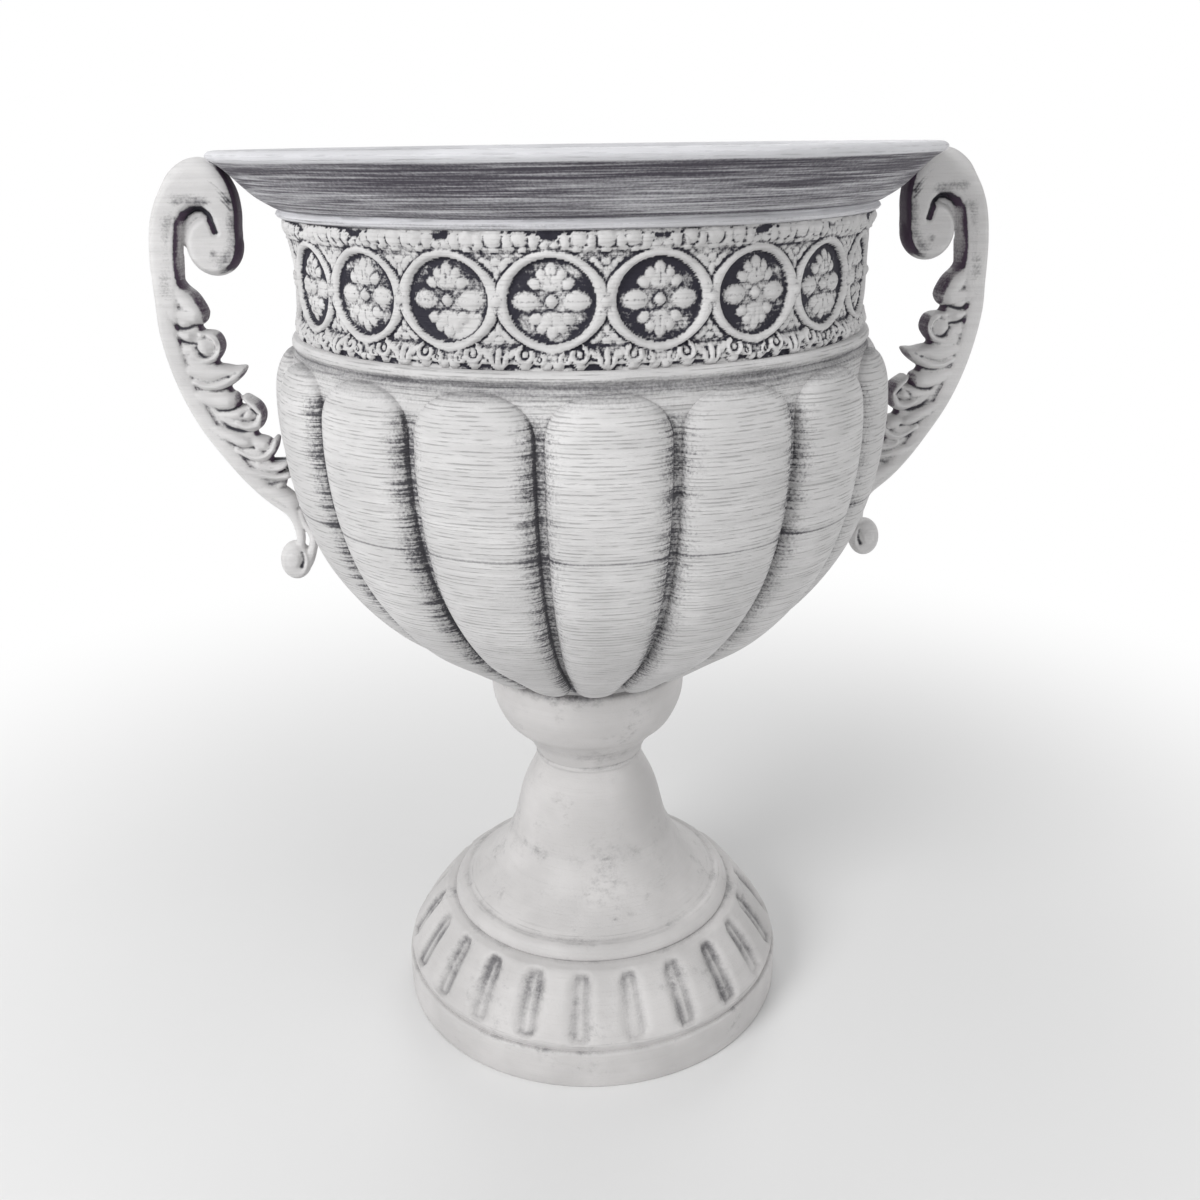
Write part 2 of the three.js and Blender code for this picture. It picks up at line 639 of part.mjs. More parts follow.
function handleShape() {
  const shape = new THREE.Shape([at(-0.03, 0.967), at(0.022, 0.983)]);
  // over the shoulder of the volute and down the outside
  shape.splineThru([
    at(0.095, 0.956), at(0.148, 0.907), at(0.203, 0.822), at(0.247, 0.691), at(0.265, 0.546),
    at(0.267, 0.401), at(0.24, 0.256), at(0.182, 0.121), at(0.117, 0.015), at(0.041, -0.064),
    at(0.006, -0.103), at(0.003, -0.147), at(0.022, -0.17),
  ]);
  // the small curled end
  shape.splineThru([
    at(0.053, -0.218), at(0.042, -0.273), at(-0.007, -0.296), at(-0.049, -0.267),
    at(-0.057, -0.217), at(-0.032, -0.174),
  ]);
  // up the tail and along the bowl, set into it before it is cut
  shape.splineThru([
    at(-0.028, -0.135), at(-0.036, -0.097), at(-0.08, -0.077), at(-0.099, 0.145), at(-0.006, 0.161),
  ]);
  // tips and hollows of the leaves
  shape.splineThru([at(0.024, 0.178), at(0.064, 0.182)]);
  shape.splineThru([at(0.036, 0.224), at(0.071, 0.275)]);
  shape.splineThru([at(0.064, 0.323), at(0.055, 0.369), at(0.105, 0.397)]);
  shape.splineThru([at(0.116, 0.449), at(0.156, 0.493)]);
  shape.splineThru([at(0.121, 0.522), at(0.131, 0.565), at(0.168, 0.619), at(0.169, 0.687)]);
  // inside of the stem, over the top of the slot and to its end
  shape.splineThru([
    at(0.151, 0.764), at(0.107, 0.832), at(0.053, 0.849), at(0.023, 0.812), at(0.029, 0.783),
  ]);
  // the rolled end of the volute, and its outside back up to the lip
  shape.splineThru([
    at(0.051, 0.809), at(0.086, 0.807), at(0.118, 0.754), at(0.118, 0.691), at(0.081, 0.654),
    at(0.03, 0.675), at(-0.011, 0.735), at(-0.033, 0.812), at(-0.037, 0.886), at(-0.035, 0.928),
  ]);
  shape.closePath();
  return shape;
}

// Cylinder lying along X from one reach to another, at the height of the screws
function lyingCylinder(radius, fromX, toX) {
  return new THREE.CylinderGeometry(radius, radius, toX - fromX, BORE_STEPS)
    .rotateZ(-Math.PI / 2)
    .translate((fromX + toX) / 2, 0, screwZ);
}

function handle() {
  const body = toSolid(new THREE.ExtrudeGeometry(handleShape(), {
    depth: HANDLE_DEPTH - 2 * HANDLE_BEVEL,
    bevelThickness: HANDLE_BEVEL,
    bevelSize: HANDLE_BEVEL,
    bevelOffset: -HANDLE_BEVEL,
    bevelSegments: 1,
    curveSegments: 1,
  }).translate(0, 0, HANDLE_BEVEL - HANDLE_DEPTH / 2).rotateX(Math.PI / 2));
  const roomZ = coveZ - SEAT_GAP;
  const rimRoom = toSolid(turned([
    point(0, rimTop + SEAT_GAP),
    point(RIM_RADIUS + SEAT_GAP, rimTop + SEAT_GAP),
    point(RIM_RADIUS + SEAT_GAP, rimTop - LIP_HEIGHT - SEAT_GAP),
    point(coveRadius, roomZ),
    point(0, roomZ),
  ], RIM_STEPS));
  const screwHole = toSolid(lyingCylinder(SCREW_RADIUS + FIT, crestX - LOBE_DEPTH, screwTipX + FIT));
  const dowelHole = toSolid(new THREE.CylinderGeometry(
    DOWEL_RADIUS + FIT,
    DOWEL_RADIUS + FIT,
    2 * (DOWEL_IN_HANDLE + FIT),
    BORE_STEPS,
  ).rotateX(Math.PI / 2).translate(dowelX, 0, dowelSeatZ));
  return toGeometry(body
    .subtract(bowlRoom())
    .subtract(rimRoom)
    .subtract(screwHole)
    .subtract(dowelHole));
}

function drilledBowlUpper() {
  let bowl = toSolid(bowlUpper());
  [1, -1].forEach((side) => {
    const hole = lyingCylinder(SCREW_RADIUS + FIT, seatX - CUT_OVERRUN, crestX + CUT_OVERRUN);
    const seat = lyingCylinder(SCREW_WASHER_RADIUS + 2 * FIT, seatX - 2 * CUT_OVERRUN, seatX);
    bowl = bowl.subtract(toSolid(side > 0 ? hole : hole.rotateZ(Math.PI)));
    bowl = bowl.subtract(toSolid(side > 0 ? seat : seat.rotateZ(Math.PI)));
  });
  return toGeometry(bowl);
}

// Pan-headed screw along +X, its head's underside at the washer's inner face
function handleScrew() {
  const underHead = seatX - SCREW_WASHER_WALL;
  const profile = [
    point(0, screwTipX),
    point(SCREW_RADIUS, screwTipX),
    point(SCREW_RADIUS, underHead),
    point(SCREW_HEAD_RADIUS, underHead),
    point(SCREW_HEAD_RADIUS, underHead - SCREW_HEAD_HEIGHT * (1 - SCREW_HEAD_DOME)),
    point(SCREW_HEAD_RADIUS * (1 - SCREW_HEAD_DOME), underHead - SCREW_HEAD_HEIGHT),
    point(0, underHead - SCREW_HEAD_HEIGHT),
  ];
  const geometry = new THREE.LatheGeometry(profile, BORE_STEPS);
  return closed(geometry.rotateZ(-Math.PI / 2).translate(0, 0, screwZ));
}

function rod(radius, length) {
  return closed(new THREE.CylinderGeometry(radius, radius, length, BORE_STEPS).rotateX(Math.PI / 2));
}

const urn = new THREE.Group();
urn.name = 'urn';

function place(name, geometry, finish, x = 0, z = 0) {
  const mesh = new THREE.Mesh(geometry, new THREE.MeshStandardMaterial(finish));
  mesh.name = name;
  mesh.position.set(x, 0, z);
  urn.add(mesh);
  return mesh;
}

place('rim', rim(), shadedWhite);
place('frieze_band', friezeBand(), shadedWhite);
place('bowl_upper', drilledBowlUpper(), antiqueWhite);
place('bowl_lower', bowlLower(), antiqueWhite);
place('knop', knop(), antiqueWhite);
place('stem', stem(), antiqueWhite);
place('flute_ring', fluteRing(), antiqueWhite);
place('base_ring', baseRing(), antiqueWhite);
place('foot_plate', footPlate(), steel);

// Tie rod from the clamping plate up through stem, knop and bowl
const bowlFloorZ = knopTop + BOWL_FLOOR;
const rodLow = dishBottom - WASHER_WALL - NUT_HEIGHT - ROD_OVERHANG;
const rodHigh = bowlFloorZ + WASHER_WALL + NUT_HEIGHT + ROD_OVERHANG;
const rodWasher = () => washer(WASHER_RADIUS, boreRadius, WASHER_WALL);
place('tie_rod', rod(ROD_RADIUS, rodHigh - rodLow), steel, 0, (rodLow + rodHigh) / 2);
place('bowl_washer', rodWasher(), steel, 0, bowlFloorZ);
place('bowl_nut', nut(), steel, 0, bowlFloorZ + WASHER_WALL);
place('foot_washer', rodWasher(), steel, 0, dishBottom - WASHER_WALL);
place('foot_nut', nut(), steel, 0, dishBottom - WASHER_WALL - NUT_HEIGHT);

// Handles, each with its dowel, screw and washer
const dowelLength = DOWEL_IN_RIM + DOWEL_IN_HANDLE;
const dowelZ = dowelSeatZ + (DOWEL_IN_RIM - DOWEL_IN_HANDLE) / 2;
[['right', 1], ['left', -1]].forEach(([side, sign]) => {
  const turn = sign > 0 ? 0 : Math.PI;
  place(`handle_${side}`, handle().rotateZ(turn), antiqueWhite);
  place(`handle_screw_${side}`, handleScrew().rotateZ(turn), steel);
  place(
    `screw_washer_${side}`,
    washer(SCREW_WASHER_RADIUS, SCREW_RADIUS + FIT, SCREW_WASHER_WALL)
      .rotateY(Math.PI / 2)
      .translate(seatX - SCREW_WASHER_WALL, 0, screwZ)
      .rotateZ(turn),
    steel,
  );
  place(`dowel_${side}`, rod(DOWEL_RADIUS, dowelLength), steel, sign * dowelX, dowelZ);
});

export default urn;
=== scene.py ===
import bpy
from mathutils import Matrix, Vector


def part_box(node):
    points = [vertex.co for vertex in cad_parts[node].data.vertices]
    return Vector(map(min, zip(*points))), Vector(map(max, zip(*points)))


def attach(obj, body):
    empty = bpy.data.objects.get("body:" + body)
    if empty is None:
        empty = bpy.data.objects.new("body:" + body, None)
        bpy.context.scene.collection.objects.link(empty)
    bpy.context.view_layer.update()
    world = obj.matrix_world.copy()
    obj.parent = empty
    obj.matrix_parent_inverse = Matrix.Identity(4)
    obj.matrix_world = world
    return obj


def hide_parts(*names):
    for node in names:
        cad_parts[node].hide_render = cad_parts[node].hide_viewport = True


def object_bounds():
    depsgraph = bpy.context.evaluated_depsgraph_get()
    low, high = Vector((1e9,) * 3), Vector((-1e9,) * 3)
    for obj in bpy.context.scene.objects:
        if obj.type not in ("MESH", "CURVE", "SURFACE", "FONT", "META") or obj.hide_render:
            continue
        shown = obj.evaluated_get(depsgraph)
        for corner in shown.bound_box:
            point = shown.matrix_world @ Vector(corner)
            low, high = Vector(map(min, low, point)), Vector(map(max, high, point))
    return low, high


bl_info = {
    "name": "Antique Urn",
    "version": (1, 0, 0),
    "blender": (4, 5, 0),
    "location": "View3D > Sidebar > Urn",
    "description": "Models the lobes, relief, handles and antique wash of a two-handled urn",
    "category": "Add Mesh",
}

import math

import bpy
import numpy as np
from bpy.props import FloatProperty, FloatVectorProperty, IntProperty, PointerProperty
from mathutils import Matrix, Vector, noise

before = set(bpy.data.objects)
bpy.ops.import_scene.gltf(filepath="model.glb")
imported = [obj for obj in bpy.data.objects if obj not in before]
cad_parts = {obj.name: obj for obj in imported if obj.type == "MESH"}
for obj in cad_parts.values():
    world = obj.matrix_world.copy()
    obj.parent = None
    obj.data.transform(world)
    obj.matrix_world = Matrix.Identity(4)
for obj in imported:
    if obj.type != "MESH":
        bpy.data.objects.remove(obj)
CAD_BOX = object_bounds()
MM = 0.001
LINE_PITCH = 0.0011  # Height between the level lines of the plaster
CLEARANCE = 0.00025  # Gap between a spigot and the piece that it sits in

# Heights of the joints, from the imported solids
BASE_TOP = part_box("base_ring")[1].z
FLUTE_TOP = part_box("flute_ring")[1].z
STEM_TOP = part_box("stem")[1].z
KNOP_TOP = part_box("knop")[1].z
SEAM_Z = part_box("bowl_lower")[1].z
SHOULDER_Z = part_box("bowl_upper")[1].z
FRIEZE_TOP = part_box("frieze_band")[1].z
RIM_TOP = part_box("rim")[1].z


def length(name, description, default):
    return FloatProperty(name=name, description=description, default=default,
                         min=0.0, unit="LENGTH", subtype="DISTANCE", precision=4)


def tint(name, description, default):
    return FloatVectorProperty(name=name, description=description, default=default,
                               size=3, min=0.0, max=1.0, subtype="COLOR")


class UrnSizes(bpy.types.PropertyGroup):
    """Sizes of the urn's pieces."""
    rim_radius: length("Rim Radius", "Outer radius of the lip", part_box("rim")[1].x)
    rim_foot_radius: length("Rim Foot", "Radius where the rim meets the frieze", 0.0898)
    lip_height: length("Lip Height", "Height of the lip's upright edge", 0.0030)
    field_radius: length("Frieze Field", "Radius of the frieze's plain field", 0.0872)
    wall: length("Wall", "Thickness of the shells", 0.0045)
    medallions: IntProperty(name="Medallions", description="Medallions round the frieze", default=20, min=3)
    recess_width: length("Recess Width", "Width of a medallion's sunk middle", 0.0222)
    recess_height: length("Recess Height", "Height of a medallion's sunk middle", 0.0210)
    band_height: length("Band Height", "Height of a medallion's band, middle to middle", 0.0232)
    lobes: IntProperty(name="Lobes", description="Lobes round the bowl", default=16, min=3)
    lobe_depth: length("Lobe Depth", "How far a lobe stands out from the ground", 0.006)
    tongues: IntProperty(name="Tongues", description="Tongues round the foot", default=22, min=3)
    tongue_relief: length("Tongue Relief", "How far a tongue stands out", 0.0018)
    base_radius: length("Base Radius", "Radius of the ring on the ground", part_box("base_ring")[1].x)
    flute_top_radius: length("Flute Top", "Radius at the top of the fluted ring", 0.0524)
    knop_radius: length("Knop Radius", "Widest radius of the knop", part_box("knop")[1].x)
    waist_radius: length("Waist Radius", "Radius of the waist under the knop", 0.0193)
    bore_radius: length("Bore", "Radius of the hole for the tie rod", 0.0044)
    carving_grain: length("Carving Grain", "Smallest step of the carved handles", 0.00038)


class UrnFinish(bpy.types.PropertyGroup):
    """Colours of the plaster, the antique wash, the tint of painted shade and the stage."""
    plaster: tint("Plaster", "Off-white body colour", (0.632, 0.625, 0.625))
    handle_plaster: tint("Handle Plaster", "Slightly paler colour of the handles", (0.665, 0.656, 0.655))
    stem_plaster: tint("Stem Plaster", "Body colour of the smoother stem and foot", (0.585, 0.572, 0.568))
    rim_plaster: tint("Rim Plaster", "Colour of the brushed rim", (0.69, 0.69, 0.715))
    # The wash colour also paints shade on the lobes' flanks, under the rim and on the handles' sides that
    # face the bowl.
    wash: tint("Wash", "Antique wash in the recesses", (0.006, 0.005, 0.015))
    # Purple tint of the painted shade on sides that face the bowl, and partly of the brushed wash under the
    # rim.
    inner_wash_and_shade: tint("Inner Wash", "Purple-black wash on sides that face the bowl", (0.055, 0.026, 0.060))
    steel: tint("Steel", "Zinc-plated rod, nuts and washers", (0.48, 0.49, 0.50))
    backdrop: tint("Backdrop", "Pale floor and backdrop", (0.80, 0.80, 0.80))


def sizes():
    return bpy.context.scene.urn_sizes


def finish_colours():
    return bpy.context.scene.urn_finish


# Modelling helpers


def deselect():
    if bpy.context.object and bpy.context.object.mode != "OBJECT":
        bpy.ops.object.mode_set(mode="OBJECT")
    bpy.ops.object.select_all(action="DESELECT")


def activate(piece):
    deselect()
    piece.select_set(True)
    bpy.context.view_layer.objects.active = piece


def named(name):
    """Names the object that was just made, and its mesh."""
    piece = bpy.context.object
    piece.name = name
    piece.data.name = name
    return piece


def ring_stack(name, rings, around):
    """Extrudes a circle through rings of (radius, height), each one resized to its radius."""
    deselect()
    bpy.ops.mesh.primitive_circle_add(vertices=around, radius=rings[0][0], fill_type="NOTHING")
    piece = named(name)
    bpy.ops.object.mode_set(mode="EDIT")
    bpy.ops.mesh.select_all(action="SELECT")
    bpy.ops.transform.translate(value=(0, 0, rings[0][1]))
    for (before, low), (radius, high) in zip(rings, rings[1:]):
        bpy.ops.mesh.extrude_region_move(TRANSFORM_OT_translate={"value": (0, 0, high - low)})
        share = radius / before
        bpy.ops.transform.resize(value=(share, share, 1), center_override=(0, 0, high))
    bpy.ops.object.mode_set(mode="OBJECT")
    return piece


def points_of(piece, what="co"):
    """One row for each point, of its place or of its normal."""
    rows = np.empty(len(piece.data.vertices) * 3)
    piece.data.vertices.foreach_get(what, rows)
    return rows.reshape(-1, 3)


def set_points(piece, places):
    piece.data.vertices.foreach_set("co", np.ascontiguousarray(places).ravel())
    piece.data.update()


def stack_points(piece, around):
    """The points of a ring stack by ring, with each point's turn from the front."""
    places = points_of(piece).reshape(-1, around, 3)
    turn = np.arctan2(places[..., 0], -places[..., 1]) % (2 * math.pi)
    return places, turn


def place_round(radius, turn, height):
    """Places by radius, turn from the front and height."""
    return np.stack([radius * np.sin(turn), -radius * np.cos(turn), height], -1)


def close_up(piece, smooth_angle=40):
    """Joins the last ring to the first, turns the faces outwards and smooths them."""
    activate(piece)
    bpy.ops.object.mode_set(mode="EDIT")
    bpy.ops.mesh.select_all(action="SELECT")
    bpy.ops.mesh.remove_doubles(threshold=1e-6)
    bpy.ops.mesh.normals_make_consistent(inside=False)
    bpy.ops.object.mode_set(mode="OBJECT")
    bpy.ops.object.shade_smooth_by_angle(angle=math.radians(smooth_angle))
    return piece


def through(points, steps):
    """Smooth line through rows of numbers, in even steps along each stretch."""
    nodes = np.array(points, float)
    padded = np.vstack([2 * nodes[0] - nodes[1], nodes, 2 * nodes[-1] - nodes[-2]])
    line = []
    for i in range(len(nodes) - 1):
        a, b, c, d = padded[i:i + 4]
        for t in np.arange(steps) / steps:
            line.append(0.5 * (2 * b + (c - a) * t + (2 * a - 5 * b + 4 * c - d) * t ** 2
                               + (3 * b - a - 3 * c + d) * t ** 3))
    return [tuple(p) for p in line] + [tuple(nodes[-1])]


def from_here(radius, height, steps):
    """(radius, height) points, by steps of (outwards, upwards) in mm from one place."""
    return [(radius + out * MM, height + up * MM) for out, up in steps]


def spigot(radius, height):
    """Short collar under a joint, which sits in a bore of that radius in the piece below."""
    return from_here(radius - CLEARANCE, height, [(0, 0), (0, -3.0), (-2.4, -3.0)])


def ease(low, high, value):
    """Soft step from 0 at low to 1 at high."""
    share = np.clip((value - low) / (high - low), 0, 1)
    return share * share * (3 - 2 * share)


def hill(away, width):
    """Soft line, 1 at its middle and fading by its width."""
    return np.exp(-(away / width) ** 2)


def noise_at(places, grain):
    """Smooth noise of the given grain at each place, round about 0."""
    values = [noise.noise(Vector(place) * grain) for place in places.reshape(-1, 3)]
    return np.array(values).reshape(places.shape[:-1])


def hollows(piece, spread):
    """How hollow the surface is at each point, against a copy smoothed over that many steps."""
    mesh = piece.data
    edges = np.empty(len(mesh.edges) * 2, np.int32)
    mesh.edges.foreach_get("vertices", edges)
    edges = edges.reshape(-1, 2)
    places = points_of(piece)
    ends = np.concatenate([edges[:, 0], edges[:, 1]])
    others = np.concatenate([edges[:, 1], edges[:, 0]])
    count = np.maximum(np.bincount(ends, minlength=len(places)), 1)[:, None]
    soft = places.copy()
    for _ in range(spread):
        total = np.stack([np.bincount(ends, soft[others, k], len(places)) for k in range(3)], -1)
        soft = 0.5 * soft + 0.5 * total / count
    return ((soft - places) * points_of(piece, "normal")).sum(1)


def paint(piece, name, values):
    """Keeps one number for each point, for the materials to read."""
    layer = piece.data.attributes.new(name, "FLOAT", "POINT")
    layer.data.foreach_set("value", np.ascontiguousarray(values, np.float32))


def painted(piece, name):
    """Numbers kept under a name for each point, taken off the piece again."""
    layer = piece.data.attributes[name]
    values = np.empty(len(layer.data), np.float32)
    layer.data.foreach_get("value", values)
    piece.data.attributes.remove(layer)
    return values


def settle(piece, slot, *nodes):
    """Puts a finished piece on the urn's body in place of its solids."""
    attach(piece, "root")
    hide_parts(*nodes)
    return piece


def dress(piece, material):
    """Gives a piece one material in place of any others."""
    piece.data.materials.clear()
    piece.data.materials.append(material)
    return piece


# Materials


class Nodes:
    """Adds nodes to one material, or to the world, and joins them."""

    def __init__(self, owner):
        owner.use_nodes = True
        self.owner, self.tree = owner, owner.node_tree
        self.surface = self.tree.nodes.get("Principled BSDF")

    def give(self, node, inputs):
        """Joins other nodes' outputs to a node's inputs, or sets the inputs to plain values."""
        for key, value in inputs.items():
            if isinstance(value, bpy.types.NodeSocket):
                self.tree.links.new(value, node.inputs[key])
            else:
                node.inputs[key].default_value = value

    def add(self, kind, inputs=None, **settings):
        node = self.tree.nodes.new(kind)
        for key, value in settings.items():
            setattr(node, key, value)
        self.give(node, inputs or {})
        return node

    def math(self, kind, first, second=0.0, third=0.0):
        return self.add("ShaderNodeMath", {0: first, 1: second, 2: third}, operation=kind).outputs[0]

    def plus(self, first, second):
        return self.math("ADD", first, second)

    def minus(self, first, second):
        return self.math("SUBTRACT", first, second)

    def times(self, first, second):
        return self.math("MULTIPLY", first, second)

    def scaled(self, value, share, start):
        """Value times share, counted from start."""
        return self.math("MULTIPLY_ADD", value, share, start)

    def mix(self, share, first, second):
        """Mix of two colours, each one a node's output or plain red, green and blue."""
        first, second = (colour if isinstance(colour, bpy.types.NodeSocket) else (*colour, 1)
                         for colour in (first, second))
        return self.add("ShaderNodeMix", {"Factor": share, 6: first, 7: second},
                        data_type="RGBA").outputs[2]

    def ramp(self, value, low, high):
        return self.add("ShaderNodeMapRange", {"Value": value, "From Min": low, "From Max": high},
                        interpolation_type="SMOOTHSTEP").outputs[0]

    def noise(self, stretch, detail=4.0, roughness=0.6, shift=0.0):
        moved = self.add("ShaderNodeMapping", {"Vector": self.place(), "Scale": stretch,
                                               "Location": (shift, shift, shift)})
        return self.add("ShaderNodeTexNoise", {"Vector": moved.outputs[0], "Scale": 1.0,
                                               "Detail": detail, "Roughness": roughness}).outputs[0]

    def painted(self, name):
        return self.add("ShaderNodeAttribute", attribute_name=name).outputs["Fac"]

    def place(self):
        return self.add("ShaderNodeTexCoord").outputs["Object"]

    def spread(self, value, low, high, least, most):
        """Value from low to high, turned into least to most."""
        return self.add("ShaderNodeMapRange", {"Value": value, "From Min": low, "From Max": high,
                                               "To Min": least, "To Max": most}).outputs[0]

    def bump(self, height, strength, distance, **below):
        return self.add("ShaderNodeBump", {"Strength": strength, "Distance": distance, "Height": height,
                                           **below}).outputs[0]

    def seen(self):
        """1 for rays that show the backdrop itself, 0 for rays that only carry light."""
        rays = self.add("ShaderNodeLightPath").outputs
        mirrored = self.math("MAXIMUM", rays["Is Glossy Ray"], rays["Is Transmission Ray"])
        return self.math("MAXIMUM", rays["Is Camera Ray"], mirrored)


def washed_plaster(name, base, more=None, *, low, high, streaks, specks, strength, lines, roughness,
                   grain=1500, brushed=0.6):
    """Off-white plaster with a dark wash that sits in the hollows and drags out in level streaks, and with
    painted shade where a piece marks it.

    The wash shows from low to high, pulled about by streaks and specks. More adds to it. Level
    lines run round the piece, broken up. Brushed is how streaky the body is.
    """
    colours = finish_colours()
    n = Nodes(bpy.data.materials.new(name))
    streak = n.noise((30, 30, grain), detail=2.5, roughness=0.62)
    drag = n.noise((13, 13, 520), detail=4.0, roughness=0.6, shift=3.1)
    speck = n.noise((1300, 1300, 1300), detail=2.5, roughness=0.6, shift=7.7)
    cloud = n.noise((34, 34, 34), detail=3.0, roughness=0.55, shift=1.9)
    pull = n.painted("wash")
    for grain_of, amount in ((streak, streaks), (drag, streaks * 0.7), (speck, specks), (cloud, 0.25)):
        pull = n.scaled(n.minus(grain_of, 0.5), amount, pull)
    if more:
        pull = n.plus(pull, more(n, streak, speck))
    mask = n.times(n.ramp(pull, low, high), strength)
    shade = n.scaled(n.minus(drag, 0.5), brushed, cloud)
    body = n.mix(n.ramp(shade, 0.3, 0.75), [c * 0.88 for c in base], [min(c * 1.06, 1) for c in base])
    height = n.add("ShaderNodeSeparateXYZ", {0: n.place()}).outputs[2]
    wave = n.math("SINE", n.scaled(height, 2 * math.pi / LINE_PITCH, n.times(drag, 9.0)))
    broken = n.ramp(n.noise((105, 105, 900), detail=3.5, roughness=0.7, shift=5.3), 0.42, 0.62)
    line = n.times(n.ramp(wave, 0.25, 1.0), broken)
    amount = n.scaled(n.painted("contour"), 0.22, lines)
    body = n.mix(n.times(line, amount), body, [c * 0.28 for c in base])
    # The inner mark gives the painted shade its purple tint.
    tone = n.mix(n.painted("inner"), colours.wash, colours.inner_wash_and_shade)
    rough = n.spread(speck, 0.3, 0.7, roughness - 0.06, roughness + 0.08)
    level = n.bump(n.scaled(line, -0.6, streak), strength=0.8, distance=0.0005 * lines + 0.00005)
    fine = n.bump(speck, strength=0.5, distance=0.0002, Normal=level)
    n.give(n.surface, {"Base Color": n.mix(mask, body, tone), "Roughness": rough, "Normal": fine,
                       "Specular IOR Level": 0.25})
    return n.owner


def brushed_steel():
    steel = finish_colours().steel
    n = Nodes(bpy.data.materials.new("zinc_plated_steel"))
    brush = n.noise((300, 300, 4000), detail=3.0)
    patch = n.noise((120, 120, 120), detail=3.0, roughness=0.6, shift=2.0)
    n.give(n.surface, {
        "Base Color": n.mix(n.ramp(patch, 0.3, 0.7), [c * 0.7 for c in steel], list(steel)),
        "Roughness": n.spread(brush, 0.0, 1.0, 0.28, 0.5),
        "Normal": n.bump(brush, strength=0.3, distance=0.0001), "Metallic": 1.0})
    return n.owner


# Rim


class URN_OT_rim(bpy.types.Operator):
    """Turn the flared rim with its lip and bead."""
    bl_idname = "urn.rim"
    bl_label = "Rim"

    def execute(self, context):
        s = sizes()
        top, lip, foot = RIM_TOP, s.rim_radius, s.rim_foot_radius
        collar = spigot(s.field_radius - s.wall, FRIEZE_TOP)
        under = from_here(lip, top - s.lip_height, [(-1.7, 0), (-5.0, -2.4)])
        under += from_here(lip, FRIEZE_TOP, [(-11.7, 7.0), (-16.5, 3.8)])
        under += from_here(foot, FRIEZE_TOP, [(1.5, 2.7)])
        bead = from_here(foot, FRIEZE_TOP, [(1.2, 2.3), (1.9, 1.9), (2.2, 1.3), (1.7, 0.6), (0.7, 0.1),
                                            (0, 0)])
        outer = from_here(lip, top, [(-2.4, 0), (-1.2, -0.2), (-0.4, -0.7), (0, -1.3), (-0.2, -1.9),
                                     (-0.8, -2.5)]) + through(under, 8) + bead
        flare = from_here(collar[0][0], FRIEZE_TOP, [(-2.4, 2.0), (0.6, 6.2)])
        flare += from_here(lip, FRIEZE_TOP, [(-17.5, 11.2)])
        flare += from_here(lip, top, [(-8.5, -3.1), (-5.0, -0.8)])
        inner = collar + through(flare, 6)
        inner += from_here(lip, top, [(-4.2, -0.2), (-3.4, 0), (-2.4, 0)])
        piece = close_up(ring_stack("rim_turned", outer + inner, around=192), smooth_angle=45)
        places = points_of(piece)
        radius = np.hypot(places[:, 0], places[:, 1])
        height = places[:, 2]
        # Brushed wash under the rim, partly painted shade: it follows the faces that point down and deepens
        # towards the lip.
        underside = ease(top - s.lip_height + 0.0006, top - s.lip_height - 0.0003, height)
        underside *= ease(foot - 0.001, foot + 0.003, radius)
        underside *= ease(0.2, -0.1, points_of(piece, "normal")[:, 2])
        wash = 0.14 + 0.565 * underside
        wash += 0.16 * underside * ease(FRIEZE_TOP + 0.006, FRIEZE_TOP + 0.012, height)
        wash -= 0.34 * underside * ease(FRIEZE_TOP + 0.0028, FRIEZE_TOP + 0.0021, height)
        wash += 0.22 * underside * hill(height - FRIEZE_TOP - 0.0031, 0.0005)
        wash += 0.6 * ease(FRIEZE_TOP + 0.0007, FRIEZE_TOP, height)
        paint(piece, "wash", wash)
        # Purple tint under the rim, partly painted shade.
        paint(piece, "inner", 0.20 * underside)
        dress(piece, washed_plaster(
            "rim_brushed_plaster", finish_colours().rim_plaster, low=0.30, high=1.06, streaks=1.30,
            specks=0.35, strength=0.93, lines=0.25, roughness=0.55, grain=2300))
        settle(piece, "rim_plaster", "rim")
        return {"FINISHED"}


# Frieze


def dome(q, height):
    """Height of a rounded boss where q is its squared distance from the middle, 1 at its edge."""
    return height * np.sqrt(np.clip(1 - q, 0, None))


def spot(u, v, at_u, at_v, wide, high, lean, height):
    """Oval boss, leaning by an angle in degrees."""
    c, s = math.cos(math.radians(lean)), math.sin(math.radians(lean))
    du, dv = u - at_u, v - at_v
    return dome(((du * c + dv * s) / wide) ** 2 + ((dv * c - du * s) / high) ** 2, height)


def scroll(u, v, at_u, at_v, radius, width, height, opening):
    """Curled ridge with an eye, open to one side."""
    away = np.hypot(u - at_u, v - at_v)
    turn = np.degrees(np.arctan2(v - at_v, u - at_u))
    gap = np.abs((turn - opening + 180) % 360 - 180) < 38
    curl = dome(((away - radius) / width) ** 2, height)
    eye = dome((away / (radius * 0.42)) ** 2, height * 0.9)
    return np.maximum(np.where(gap, 0, curl), eye)


def with_spots(relief, u, v, rows):
    """Relief with a boss for each row of (place, place, half width, half height, lean, height)."""
    for row in rows:
        relief = np.maximum(relief, spot(u, v, *row))
    return relief


